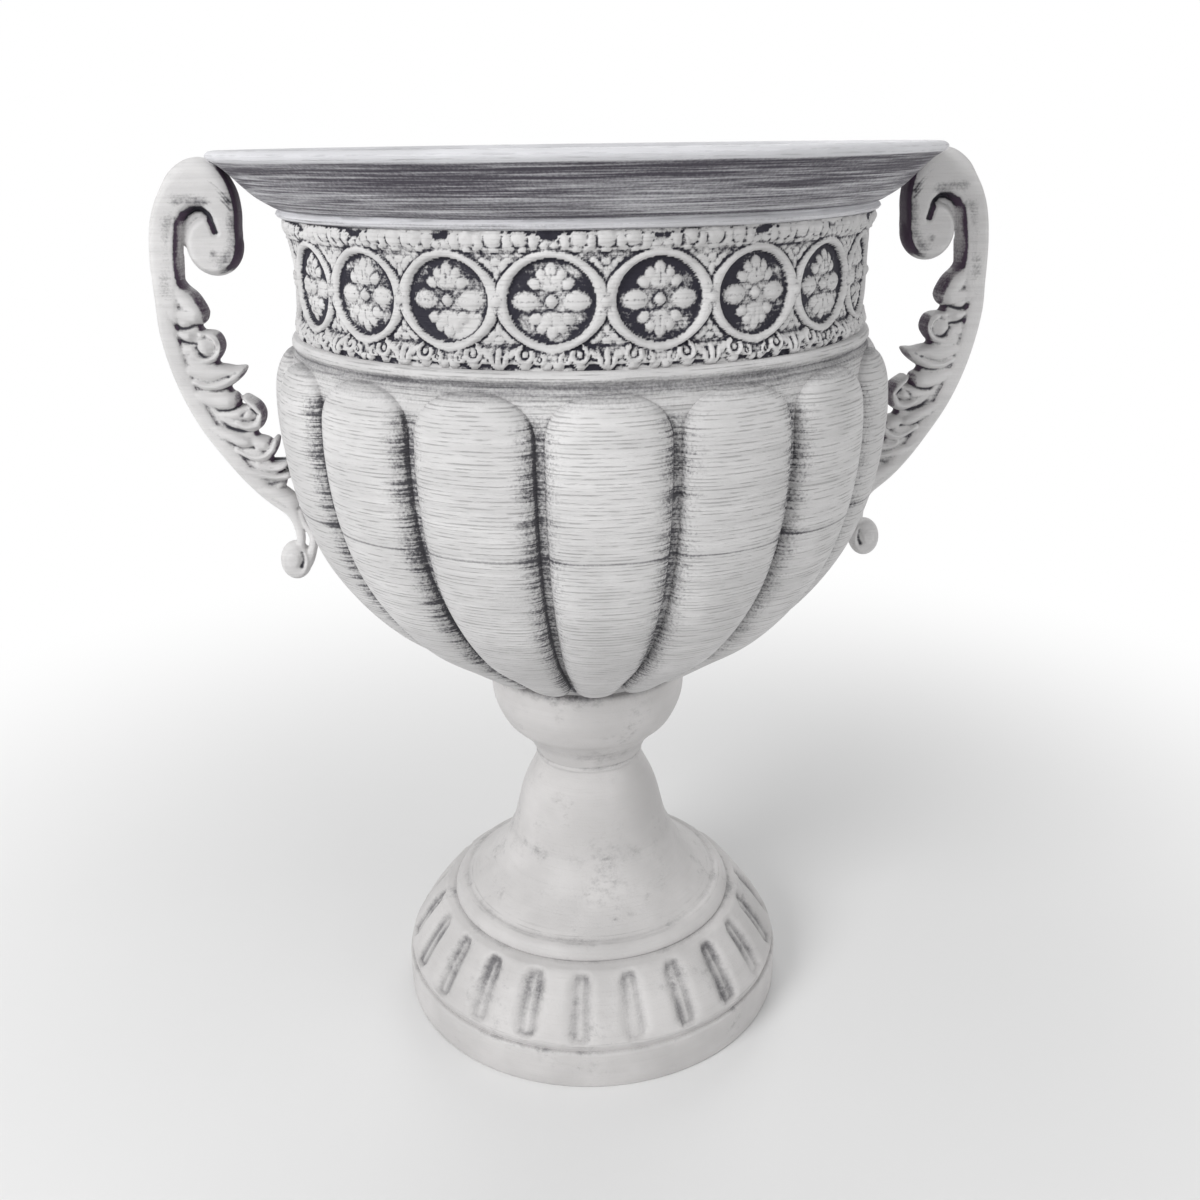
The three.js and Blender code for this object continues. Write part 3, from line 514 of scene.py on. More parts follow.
def frieze_flower(side, high):
    """Four-petalled rosette of a medallion, by the distance from its middle to the side and up."""
    low = -0.9
    mound = -0.35 - 1.1 * ease(4.5, 7.5, np.hypot(side, high))
    petal = dome((np.abs(side - 6.3) / 3.9) ** 1.7 + (high / 2.9) ** 2, 1.0) * 2.0
    petal -= 0.25 * hill(high, 0.5) * (side > 3.8) * (side < 8.8)
    petal = with_spots(petal, side, high, [
        (0, 5.0, 4.7, 3.1, 0, 1.8), (0, 7.2, 1.9, 2.5, 0, 1.85), (2.3, 6.2, 1.8, 2.1, -22, 1.8),
        (4.0, 4.3, 2.1, 1.8, 25, 1.8)])
    petal -= 0.25 * hill(side, 0.4) * (high > 3.8) * (high < 8.2)
    petal *= ease(1.5, 2.3, np.hypot(side, high))
    boss = dome((side ** 2 + high ** 2) / 1.75 ** 2, 2.3)
    raised = np.maximum(petal, boss)
    return np.where(raised > 0.02, np.maximum(raised + low, mound), mound)


def frieze_borders(u, v, half):
    """Lace of the two borders, and the gaps between its scallops where the ground is bare."""
    side = np.abs(u)
    lace = 0.55 * ease(11.9, 12.7, v) + 0.55 * ease(-11.2, -12.2, v)
    upper = [(7.2, 14.9, 2.2, 2.1, 0, 1.5), (half, 14.9, 2.6, 2.3, 0, 1.6),
             (half - 3.6, 14.4, 1.5, 2.0, 0, 1.4), (3.8, 14.3, 1.5, 1.9, 0, 1.35),
             (6.6, 12.7, 1.3, 0.8, 0, 1.25), (9.2, 13.0, 0.9, 0.9, 0, 1.2),
             (half, 12.6, 1.6, 0.8, 0, 1.2), (1.4, 13.6, 1.6, 0.8, 0, 1.1)]
    lower = [(7.1, -15.6, 1.2, 1.5, 0, 1.2), (1.2, -15.9, 1.3, 1.2, 0, 1.15),
             (half, -14.3, 1.1, 2.9, 0, 1.75), (half - 1.9, -14.2, 0.9, 2.4, 20, 1.6),
             (half - 3.4, -13.0, 0.9, 1.9, 45, 1.45), (half - 1.5, -16.0, 1.7, 1.2, 0, 1.3)]
    lace = with_spots(lace, side, v, upper + lower)
    for row in ((6.9, -13.1, 1.9, 0.7, 1.6, 110), (3.1, -14.3, 1.2, 0.6, 1.3, 60)):
        lace = np.maximum(lace, scroll(side, v, *row))
    scallop = np.full_like(u, -1.0)
    scallops = ((7.2, 14.8, 2.6), (half, 14.6, 3.1), (half - 3.4, 14.4, 2.5), (3.7, 14.2, 2.3),
                (1.5, -15.3, 1.7), (7.1, -15.2, 1.9), (half, -15.0, 2.3))
    for at_u, at_v, size in scallops:
        scallop = np.maximum(scallop, 1 - ((side - at_u) ** 2 + (v - at_v) ** 2) / size ** 2)
    gap = ease(0.25, -0.05, scallop) * (ease(14.7, 15.2, v) + ease(-15.3, -15.8, v))
    return lace * (1 - gap), ease(0.3, 0.8, gap)


def frieze_relief(u, v, pitch, recess_wide, recess_high, band_high):
    """Height of the frieze in mm. u runs round from a medallion's middle, v upwards from it.

    Also tells how far each point lies in a recess, and how bare the ground is at the edges.
    """
    half = pitch / 2
    side, high = np.abs(u), np.abs(v)
    ground = 2.6 * np.clip((v - 3) / 14.2, 0, 1) ** 1.6 + 0.9 * ease(-10.2, -15.0, v)
    power = 1.65
    size = ((side / half) ** power + (high / band_high) ** power + 1e-9) ** (1 / power)
    slope = np.hypot(side ** (power - 1) / half ** power, high ** (power - 1) / band_high ** power)
    away = (size - 1) / (slope * size ** (1 - power) + 1e-6)
    sunk = (1 - np.hypot(u / recess_wide, v / recess_high)) * (recess_wide + recess_high) / 2
    within = np.clip(np.minimum(-sunk, 1.45 - away) / 1.35, 0, 1)
    band = 1.7 * np.sqrt(1 - (1 - within) ** 2) + 0.45 * ground * (within > 0)
    border, gap = frieze_borders(u, v, half)
    leaf = with_spots(np.zeros_like(u), side, high, [
        (half, 6.6, 1.0, 2.3, 0, 0.55), (half - 1.8, 8.6, 1.0, 1.9, 35, 0.5),
        (half - 0.2, 9.6, 1.2, 1.1, 0, 0.45), (half - 3.2, 9.9, 1.0, 0.7, 0, 0.4)])
    relief = np.maximum(ground + np.maximum(border, leaf), band)
    floor = -1.35 * ease(0.1, 1.0, sunk)
    inside = np.maximum(floor, np.where(sunk > 0.9, frieze_flower(side, high), floor))
    relief = np.where(sunk > 0, inside, relief)
    bead = dome(((half - side) ** 2 + v ** 2) / 2.05 ** 2, 2.4)
    line = ease(16.6, 16.95, v) + 0.6 * ease(-16.8, -17.1, v)
    return np.maximum(relief, bead), ease(-0.35, -1.0, relief) * (sunk > 0), np.maximum(gap, line)


class URN_OT_frieze(bpy.types.Operator):
    """Carve the frieze of linked medallions between its two borders."""
    bl_idname = "urn.frieze"
    bl_label = "Frieze"

    def execute(self, context):
        s = sizes()
        rows, per_medallion = 76, 60
        around = s.medallions * per_medallion
        middle = (SHOULDER_Z + FRIEZE_TOP) / 2
        field = s.field_radius
        inner = field - s.wall
        outer = [(field, FRIEZE_TOP + (SHOULDER_Z - FRIEZE_TOP) * i / rows) for i in range(rows + 1)]
        collar = 0.0857
        rest = [(collar, SHOULDER_Z), (collar, SHOULDER_Z - 0.003), (inner, SHOULDER_Z - 0.003),
                (inner, FRIEZE_TOP), (field, FRIEZE_TOP)]
        piece = ring_stack("frieze_carved", outer + rest, around)
        places, turn = stack_points(piece, around)
        carved = places[:rows + 1]
        pitch_turn = 2 * math.pi / s.medallions
        pitch = pitch_turn * field / MM
        u = ((turn[:rows + 1] / pitch_turn) % 1 - 0.5) * pitch
        v = (carved[..., 2] - middle) / MM
        relief, sunk, bare = frieze_relief(u, v, pitch, s.recess_width / 2 / MM,
                                           s.recess_height / 2 / MM, s.band_height / 2 / MM)
        patchy = noise_at(carved, grain=130)
        busy = 0.10 + 0.22 * ease(10.0, 12.0, np.abs(v)) + 0.08 * (sunk > 0.5)
        relief = relief + busy * noise_at(carved, grain=650)
        places[:rows + 1] = place_round(field + relief * MM, turn[:rows + 1], carved[..., 2])
        places[-1] = places[0]
        set_points(piece, places)
        wash = np.full(places.shape[:2], 0.15)
        floors = sunk * (0.53 + 0.98 * patchy) + bare * (0.55 + 0.9 * patchy)
        wash[:rows + 1] = 0.46 + floors + 0.24 * patchy
        wash[-1] = wash[0]
        paint(piece, "carved", wash.ravel())
        close_up(piece, smooth_angle=70)
        fine = np.clip(hollows(piece, spread=3) / MM, -0.12, 0.3)
        broad = np.clip(hollows(piece, spread=20) / MM, -0.35, 0.5)
        wash = painted(piece, "carved") + 1.8 * fine + 0.60 * broad
        paint(piece, "wash", np.clip(wash, 0, 1.3))
        dress(piece, washed_plaster(
            "frieze_plaster_with_wash", finish_colours().plaster, low=0.34, high=0.96, streaks=0.62,
            specks=1.05, strength=0.98, lines=0.18, roughness=0.58))
        settle(piece, "frieze_plaster", "frieze_band")
        return {"FINISHED"}


# Bowl

LOBE_TOP = SHOULDER_Z - 0.0052  # Where the lobes' arches end
ARCH = 0.013  # Height of the rounded upper end of a lobe
LOBE_WIDE = 0.925  # Share of a lobe's pitch that it fills
ROUND = 2.3  # Power of a lobe's section, 2 is an ellipse


def bowl_ground():
    """The bowl's ground line behind the lobes, downwards, as (radius, height)."""
    tall = SEAM_Z - KNOP_TOP
    return through([
        (0.0905, SHOULDER_Z), (0.0909, SHOULDER_Z - 0.0055), (0.0922, SHOULDER_Z - 0.027),
        (0.0890, SEAM_Z), (0.0809, KNOP_TOP + tall * 0.71), (0.0656, KNOP_TOP + tall * 0.41),
        (0.0503, KNOP_TOP + tall * 0.22), (0.0330, KNOP_TOP + 0.0016),
    ], 12)


def radius_on(line, height):
    """Radius of a downward line at a height."""
    radii, heights = np.array(line)[::-1].T
    return np.interp(height, heights, radii)


def lobe_rise(across, height):
    """How far a lobe stands out, by the place across it (-1 to 1) and the height."""
    tall = SEAM_Z - KNOP_TOP
    least = 0.0035
    depth = least + (sizes().lobe_depth - least) * ease(KNOP_TOP, KNOP_TOP + 0.6 * tall, height)
    high = np.clip(height - (LOBE_TOP - ARCH), 0, None) / ARCH
    low = np.clip(KNOP_TOP + 0.0016 + 0.006 - height, 0, None) / 0.006
    wide = np.abs(across) / LOBE_WIDE
    inside = 1 - wide ** ROUND - np.maximum(high, low) ** ROUND
    return depth * np.clip(inside, 0, None) ** (1 / ROUND)


def slopes_of(line):
    """Outward direction (radius, height) square to each point of a downward line."""
    along = np.gradient(np.array(line), axis=0)
    along /= np.linalg.norm(along, axis=1)[:, None]
    return np.stack([-along[:, 1], along[:, 0]], -1)


def on_lobes(ground, across, height):
    """Radius and height of the lobed surface, level above the seam and square below it."""
    out = slopes_of(ground)[::-1]
    heights = np.array(ground)[::-1, 1]
    tilt = ease(0, 0.35 * (SEAM_Z - KNOP_TOP), SEAM_Z - height)
    out_r = 1 - tilt + np.interp(height, heights, out[:, 0]) * tilt
    out_z = np.interp(height, heights, out[:, 1]) * tilt
    rise = lobe_rise(across, height) / np.hypot(out_r, out_z)
    return radius_on(ground, height) + out_r * rise, height + out_z * rise


def lobe_columns(turn, count, per_lobe):
    """Moves the columns of a stack closer together at the lobes' flanks."""
    index = np.rint(turn / (2 * math.pi / (count * per_lobe))).astype(int) + per_lobe // 2
    lobe, step = np.divmod(index, per_lobe)
    share = np.linspace(-1, 1, per_lobe, endpoint=False)
    across = (np.sign(share) * (1 - (1 - np.abs(share)) ** 1.35))[step]
    return across, (lobe + across / 2) * 2 * math.pi / count


def lobe_arch(across):
    """Height of a lobe's upper edge by the place across it."""
    wide = np.clip(np.abs(across) / LOBE_WIDE, 0, 1)
    return LOBE_TOP - ARCH + ARCH * (1 - wide ** ROUND) ** (1 / ROUND)


def bowl_wash_and_shade(n, streak, speck):
    """Grey wash in the grooves between the lobes and dashes on their flanks, with painted shade that
    deepens down each flank and is darkest on its right side.
    """
    edge, side = n.painted("edge"), n.painted("side")
    # Painted shade: darker from a lobe's middle down to its foot, and more so on its right flank.
    flank = n.ramp(edge, 0.14, 1.02)
    dash = n.ramp(streak, 0.43, 0.66)
    total = n.times(flank, n.scaled(side, 0.15, 0.25))
    # Dashes of wash on the flanks, made stronger on the right flank as painted shade.
    reach = n.times(n.times(flank, dash), n.scaled(side, 0.24, 0.15))
    # Dark wash along a lobe's foot, deepened on the right side as painted shade.
    corner = n.times(n.ramp(edge, 0.92, 0.99), n.minus(1.0, n.ramp(edge, 1.01, 1.08)))
    uneven = n.scaled(n.noise((11, 11, 16), detail=2.0, roughness=0.5, shift=8.3), 1.6, -0.25)
    corner = n.times(corner, n.times(uneven, n.scaled(side, 0.45, 0.22)))
    total = n.plus(n.plus(total, reach), corner)
    total = n.scaled(n.ramp(edge, 0.98, 1.05), 0.14, total)
    total = n.scaled(flank, n.minus(speck, 0.5), total)
    below = n.scaled(n.painted("arch"), -1.0, 1.0)
    return n.times(total, n.math("MAXIMUM", below, 0.12))


def finish_lobes(piece, name, rings, marks):
    """Paints the wash of a bowl shell. Marks hold one row for each ring of its outside.

    Edge is 0 on a lobe's middle and 1 at its foot, arch is how far a point is up its rounded upper
    end, and side is 0 on the left flank and 1 on the right, where the painted shade is darker.
    """
    count = len(piece.data.vertices)
    for label, values in marks.items():
        layout = np.zeros((rings, values.shape[1]))
        layout[:len(values)] = values
        layout[-1] = layout[0]
        paint(piece, label, np.clip(layout.ravel()[:count], 0, 2))
    close_up(piece, smooth_angle=50)
    height = points_of(piece)[:, 2]
    ledge = hill(height - SHOULDER_Z + 0.0037, 0.0006)
    shoulder = ease(SHOULDER_Z - 0.0105, SHOULDER_Z - 0.0050, height)
    shoulder *= ease(SHOULDER_Z - 0.0010, SHOULDER_Z - 0.0034, height)
    seam = hill(height - SEAM_Z, 0.0005)
    wash = 0.20 + 0.22 * ledge + 0.37 * shoulder + 0.54 * seam
    wash += 0.10 * ease(KNOP_TOP + 0.045, KNOP_TOP + 0.010, height)
    paint(piece, "wash", wash)
    return dress(piece, washed_plaster(
        name, finish_colours().plaster, bowl_wash_and_shade, low=0.30, high=1.04, streaks=0.55, specks=0.36,
        strength=0.88, lines=0.46, roughness=0.58, brushed=0.8))


def bowl_stack(name, line, rest, heights, first):
    """Ring stack whose rings from the first one on follow the lobes at the given heights."""
    s = sizes()
    per_lobe = 32
    around = s.lobes * per_lobe
    piece = ring_stack(name, line + rest, around)
    places, turn = stack_points(piece, around)
    across, turn = lobe_columns(turn, s.lobes, per_lobe)
    places[:] = place_round(np.hypot(places[..., 0], places[..., 1]), turn, places[..., 2])
    edge = np.zeros((len(line), around))
    arch = np.zeros_like(edge)
    for k, height in enumerate(heights, first):
        level = height(across[k])
        radius, high = on_lobes(bowl_ground(), across[k], level)
        places[k] = place_round(radius, turn[k], high)
        over = np.clip(level - (LOBE_TOP - ARCH), 0, None) / ARCH
        edge[k] = (np.abs(across[k]) / LOBE_WIDE) ** ROUND + over ** ROUND
        arch[k] = np.maximum(over ** ROUND / np.maximum(edge[k], 1e-3), 0.92 * ease(0.10, 0.85, over))
    edge[:first] = arch[:first] = 1.0
    places[-1] = places[0]
    set_points(piece, places)
    across = across[:len(line)]
    # Side sets the lobes' painted shade: 0 on a lobe's left flank, 1 on its right flank, which is painted
    # darker.
    groove = 0.5 + 0.5 * np.sign(across) * (1 - np.abs(across)) / (1 - LOBE_WIDE)
    side = np.where(np.abs(across) < LOBE_WIDE, ease(-0.5, 0.5, across), groove)
    return piece, len(places), {"edge": edge, "arch": arch, "side": side}


class URN_OT_bowl(bpy.types.Operator):
    """Swell the lobes of the bowl's upper and lower shells."""
    bl_idname = "urn.bowl"
    bl_label = "Bowl"

    def execute(self, context):
        s = sizes()
        ground = bowl_ground()
        wall = s.wall
        out = slopes_of(ground)
        inside = [(r - o[0] * wall, z - o[1] * wall) for (r, z), o in zip(ground, out)]
        ledge = from_here(0, SHOULDER_Z, [(90.1, 0), (90.6, -0.5), (90.9, -1.3), (90.9, -2.1),
                                          (90.5, -2.8), (90.1, -3.5), (90.1, -4.3)])
        start, bend, seam = SHOULDER_Z - 0.0050, SHOULDER_Z - 0.030, SEAM_Z + 0.0006
        heights = [lambda a, t=t: start + (lobe_arch(a) - start) * t for t in np.linspace(0, 1, 7)]
        heights += [lambda a, t=t: lobe_arch(a) + (bend - lobe_arch(a)) * t ** 1.7
                    for t in np.linspace(0, 1, 22)[1:]]
        heights += [lambda a, z=z: z + 0 * a for z in np.linspace(bend, seam, 14)[1:]]
        line = ledge + [(radius_on(ground, float(h(0.0))), float(h(0.0))) for h in heights]
        line += [(radius_on(ground, SEAM_Z) - 0.0003, SEAM_Z)]
        heights.append(lambda a: SEAM_Z + 0 * a)
        collar = spigot(radius_on(inside, SEAM_Z - 0.003), SEAM_Z)
        back = [(radius_on(inside, z), z) for z in np.linspace(SEAM_Z + 0.003, SHOULDER_Z, 10)]
        rest = [*collar, (collar[-1][0], SEAM_Z + 0.0022), *back, line[0]]
        piece, rings, marks = bowl_stack("bowl_upper_lobes", line, rest, heights, len(ledge))
        finish_lobes(piece, "bowl_plaster_upper", rings, marks)
        settle(piece, "bowl_plaster", "bowl_upper")

        floor = KNOP_TOP + 0.006
        levels = np.concatenate([[SEAM_Z], np.linspace(SEAM_Z - 0.0006, KNOP_TOP + 0.012, 44),
                                 np.linspace(KNOP_TOP + 0.0112, KNOP_TOP + 0.0016, 18)])
        heights = [lambda a, z=z: z + 0 * a for z in levels]
        line = [(radius_on(ground, z), z) for z in levels]
        back = [(radius_on(inside, z), z) for z in np.linspace(floor, SEAM_Z, 26)]
        small_end = 0.0325
        rest = [(small_end, KNOP_TOP), (s.bore_radius, KNOP_TOP), (s.bore_radius, floor), *back, line[0]]
        piece, rings, marks = bowl_stack("bowl_lower_lobes", line, rest, heights, 0)
        finish_lobes(piece, "bowl_plaster_lower", rings, marks)
        settle(piece, "bowl_plaster", "bowl_lower")
        return {"FINISHED"}


# Stem and foot


def smudges(n, streak, speck):
    """Faint grey smudges of small grains, in patches."""
    patch = n.ramp(n.noise((58, 58, 58), detail=3.0, roughness=0.65, shift=4.4), 0.38, 0.72)
    grit = n.minus(n.noise((300, 300, 420), detail=5.0, roughness=0.75, shift=9.1), 0.34)
    return n.times(n.times(patch, grit), 1.45)


def smooth_plaster(name, low):
    """The smoother plaster of the stem and the foot."""
    return washed_plaster(name, finish_colours().stem_plaster, smudges, low=low, high=1.15, streaks=0.10,
                          specks=0.30, strength=0.80, lines=0.03, roughness=0.45, brushed=0.15)


def turned_finish(piece, name, rings, contour=None):
    """Wash for a turned piece, darker in its hollows and at the given heights."""
    height = points_of(piece)[:, 2]
    wash = 0.17 + 0.5 * np.clip(hollows(piece, spread=4) / MM, -0.1, 0.5)
    for level, width, amount in rings:
        wash = wash + amount * hill(height - level, width)
    paint(piece, "wash", np.clip(wash, 0, 1.2))
    if contour:
        low, high = contour
        paint(piece, "contour", ease(low - 0.0006, low, height) * ease(high, high - 0.003, height))
    return dress(piece, smooth_plaster(name, 0.26))


class URN_OT_knop(bpy.types.Operator):
    """Turn the round knop that is drawn in to the waist."""
    bl_idname = "urn.knop"
    bl_label = "Knop"

    def execute(self, context):
        s = sizes()
        tall = KNOP_TOP - STEM_TOP
        wide = s.knop_radius
        outer = through([
            (wide - 0.0018, KNOP_TOP), (wide - 0.0002, KNOP_TOP - 0.0022),
            (wide * 0.985, KNOP_TOP - tall * 0.33), (wide * 0.88, KNOP_TOP - tall * 0.58),
            (wide * 0.75, KNOP_TOP - tall * 0.71), (s.waist_radius * 1.12, KNOP_TOP - tall * 0.84),
            (s.waist_radius + 0.0001, STEM_TOP + 0.0010),
        ], 8)
        rest = [(s.waist_radius - 0.0003, STEM_TOP), (s.bore_radius, STEM_TOP),
                (s.bore_radius, KNOP_TOP), outer[0]]
        piece = close_up(ring_stack("knop_turned", outer + rest, around=144))
        turned_finish(piece, "knop_plaster", [(KNOP_TOP, 0.0024, 0.55), (STEM_TOP, 0.0009, 0.34),
                                              (STEM_TOP + 0.006, 0.003, 0.20)])
        settle(piece, "stem_plaster", "knop")
        return {"FINISHED"}


class URN_OT_stem(bpy.types.Operator):
    """Turn the bell-shaped stem that runs out into the domed foot."""
    bl_idname = "urn.stem"
    bl_label = "Stem"

    def execute(self, context):
        s = sizes()
        shaft = from_here(s.waist_radius, STEM_TOP, [(0, -0.8), (0.1, -3.6)])
        shaft += from_here(0, STEM_TOP, [(24.2, -14.0), (27.6, -27.0), (28.9, -31.2)])
        apron = [shaft[-1], *from_here(0, FLUTE_TOP, [(33.8, 16.9), (40.0, 10.2), (45.8, 5.6)])]
        ring = from_here(0, FLUTE_TOP, [
            (46.4, 5.2), (46.9, 5.0), (47.5, 5.1), (48.5, 4.8), (49.7, 4.1), (50.7, 3.0), (51.4, 1.8),
            (51.7, 0.8), (51.6, 0.3), (51.2, 0)])
        outer = [(s.waist_radius - 0.0003, STEM_TOP), *through(shaft, 8), *through(apron, 8)[1:], *ring]
        rest = spigot(s.flute_top_radius - s.wall - 0.001, FLUTE_TOP)
        rest += from_here(0, FLUTE_TOP, [(46.2, 3.0), (38.5, 8.5), (29.7, 18.0), (24.0, 28.0)])
        rest += [(0.0205, STEM_TOP - 0.0160), (s.bore_radius, STEM_TOP - 0.0160),
                 (s.bore_radius, STEM_TOP), outer[0]]
        piece = close_up(ring_stack("stem_turned", outer + rest, around=160))
        turned_finish(piece, "stem_plaster_smooth", [
            (STEM_TOP, 0.0009, 0.32), (STEM_TOP - 0.0315, 0.0028, 0.14),
            (FLUTE_TOP + 0.0051, 0.0005, 0.16), (FLUTE_TOP, 0.0008, 0.45)],
            (FLUTE_TOP + 0.0050, FLUTE_TOP + 0.0082))
        settle(piece, "stem_plaster", "stem")
        return {"FINISHED"}


class URN_OT_flutes(bpy.types.Operator):
    """Raise the ring of tongues round the foot."""
    bl_idname = "urn.flutes"
    bl_label = "Fluted Ring"

    def execute(self, context):
        s = sizes()
        per_tongue = 16
        around = s.tongues * per_tongue
        rows = 30
        low_radius = s.base_radius - 0.0015
        bulge = 0.0012
        line = []
        for i in range(rows + 1):
            share = i / rows
            radius = s.flute_top_radius + (low_radius - s.flute_top_radius) * share
            radius += bulge * math.sin(math.pi * share)
            line.append((radius, FLUTE_TOP + (BASE_TOP - FLUTE_TOP) * share))
        bottom_inner = s.base_radius - 0.0006 - s.wall - 0.001
        top_inner = s.flute_top_radius - s.wall - 0.001
        rest = [(bottom_inner, BASE_TOP), (top_inner, FLUTE_TOP - 0.00325),
                (top_inner, FLUTE_TOP), line[0]]
        piece = ring_stack("fluted_ring", line + rest, around)
        places, turn = stack_points(piece, around)
        turn = turn[:rows + 1]
        across = np.abs((((turn / (2 * math.pi)) * s.tongues + 0.5) % 1) * 2 - 1)
        share = np.linspace(0, 1, rows + 1)[:, None]
        round_end = 0.07 * ease(0.80, 0.56, across)
        channel = ease(0.07 + round_end, 0.17 + round_end, share)
        channel = channel * ease(0.92 - round_end, 0.86 - round_end, share) * ease(0.34, 0.86, across)
        rib = hill(1 - across, 0.13) * ease(0.12, 0.25, share) * ease(0.90, 0.82, share)
        rise = ease(0.0, 0.10, share) * ease(1.0, 0.92, share) - channel + 0.30 * rib
        out = slopes_of(line)[:, None, :]
        radius, height = np.array(line).T[..., None]
        lift = s.tongue_relief * rise
        places[:rows + 1] = place_round(radius + out[..., 0] * lift, turn, height + out[..., 1] * lift)
        places[-1] = places[0]
        set_points(piece, places)
        dark = np.zeros(places.shape[:2])
        patchy = noise_at(places[:rows + 1], grain=90)
        dark[:rows + 1] = (channel - 0.55 * rib) * (0.46 + 0.45 * patchy)
        dark[:rows + 1] += 0.30 * ease(0.05, 0.0, share)
        dark[-1] = dark[0]
        paint(piece, "dark", dark.ravel())
        close_up(piece, smooth_angle=50)
        height = points_of(piece)[:, 2]
        wash = 0.16 + painted(piece, "dark") + 0.2 * np.clip(hollows(piece, spread=5) / MM, -0.1, 0.4)
        paint(piece, "wash", np.clip(wash, 0, 1.2))
        paint(piece, "contour", ease(BASE_TOP + 0.0040, BASE_TOP + 0.0026, height)
              * ease(BASE_TOP - 0.0002, BASE_TOP + 0.0006, height))
        dress(piece, smooth_plaster("foot_plaster_fluted", 0.28))
        settle(piece, "stem_plaster", "flute_ring")
        return {"FINISHED"}


class URN_OT_base(bpy.types.Operator):
    """Turn the plain ring that the urn stands on."""
    bl_idname = "urn.base"
    bl_label = "Base Ring"

    def execute(self, context):
        s = sizes()
        wide = s.base_radius
        pocket, seat = wide - 0.0065, 0.056
        outer = from_here(wide, BASE_TOP, [(-1.4, 0), (-0.7, -0.1), (-0.2, -0.5), (0, -1.2), (0, -5.0),
                                           (0, -10.0)])
        outer += from_here(wide, 0, [(0, 0.8), (-0.3, 0.2), (-0.9, 0)])
        rest = [(pocket, 0.0), (pocket, BASE_TOP - 0.004), (seat, BASE_TOP - 0.004), (seat, BASE_TOP),
                outer[0]]
        piece = close_up(ring_stack("base_ring_turned", outer + rest, around=192))
        turned_finish(piece, "base_plaster", [(BASE_TOP, 0.0006, 0.3), (0.0, 0.0008, 0.25)])
        settle(piece, "stem_plaster", "base_ring")
        return {"FINISHED"}


# Handles. All in mm, in a handle's plane. Strokes are rows of (reach from the axis, height,
# half width, half depth), and lines are rows of (reach, height).

BAND = [
    (111.8, 267.6, 1.8, 5.0), (109.1, 270.2, 2.8, 5.8), (107.5, 274.0, 3.2, 5.9), (107.4, 278.6, 3.5, 5.9),
    (107.8, 283.4, 4.4, 5.9), (109.8, 288.2, 5.9, 5.9), (113.8, 291.8, 7.3, 5.9), (118.3, 290.6, 6.5, 5.9),
    (121.9, 287.2, 5.2, 5.9), (124.2, 283.6, 4.8, 5.9),
    (125.9, 278.6, 4.7, 5.9), (127.0, 271.5, 4.6, 5.9), (127.5, 264.5, 4.4, 5.9), (127.9, 257.0, 4.0, 5.8),
    (128.6, 250.5, 3.4, 5.6), (128.2, 243.5, 3.1, 5.1), (126.7, 235.0, 2.9, 4.7), (124.0, 226.5, 2.9, 4.6),
    (120.1, 217.8, 2.9, 4.5), (115.1, 209.5, 2.8, 4.4), (109.8, 201.8, 2.7, 4.4), (104.5, 195.8, 2.8, 4.4),
    (100.3, 192.0, 2.9, 4.0), (97.7, 188.3, 2.1, 3.2), (96.5, 184.5, 1.5, 2.4), (95.9, 181.1, 1.4, 2.2),
    (95.7, 178.2, 1.3, 2.4), (96.3, 175.6, 1.3, 3.0),
]
CORE = [
    (124.5, 254.0, 3.0, 4.9), (121.8, 243.0, 5.2, 4.5), (119.8, 235.0, 5.4, 4.3), (116.7, 226.5, 5.3, 4.2),
    (113.1, 218.8, 5.0, 4.1), (109.0, 211.5, 4.6, 4.0), (105.4, 205.0, 4.0, 3.9), (101.5, 199.0, 3.4, 3.8),
]
CURLED_END = [
    (95.2, 188.0, 1.2, 2.2), (94.2, 184.2, 1.1, 2.0), (92.3, 180.7, 1.3, 2.0), (91.6, 177.6, 1.4, 2.4),
    (92.5, 174.0, 1.6, 2.8), (94.3, 170.2, 2.0, 3.2), (97.0, 167.4, 2.2, 3.4),
]
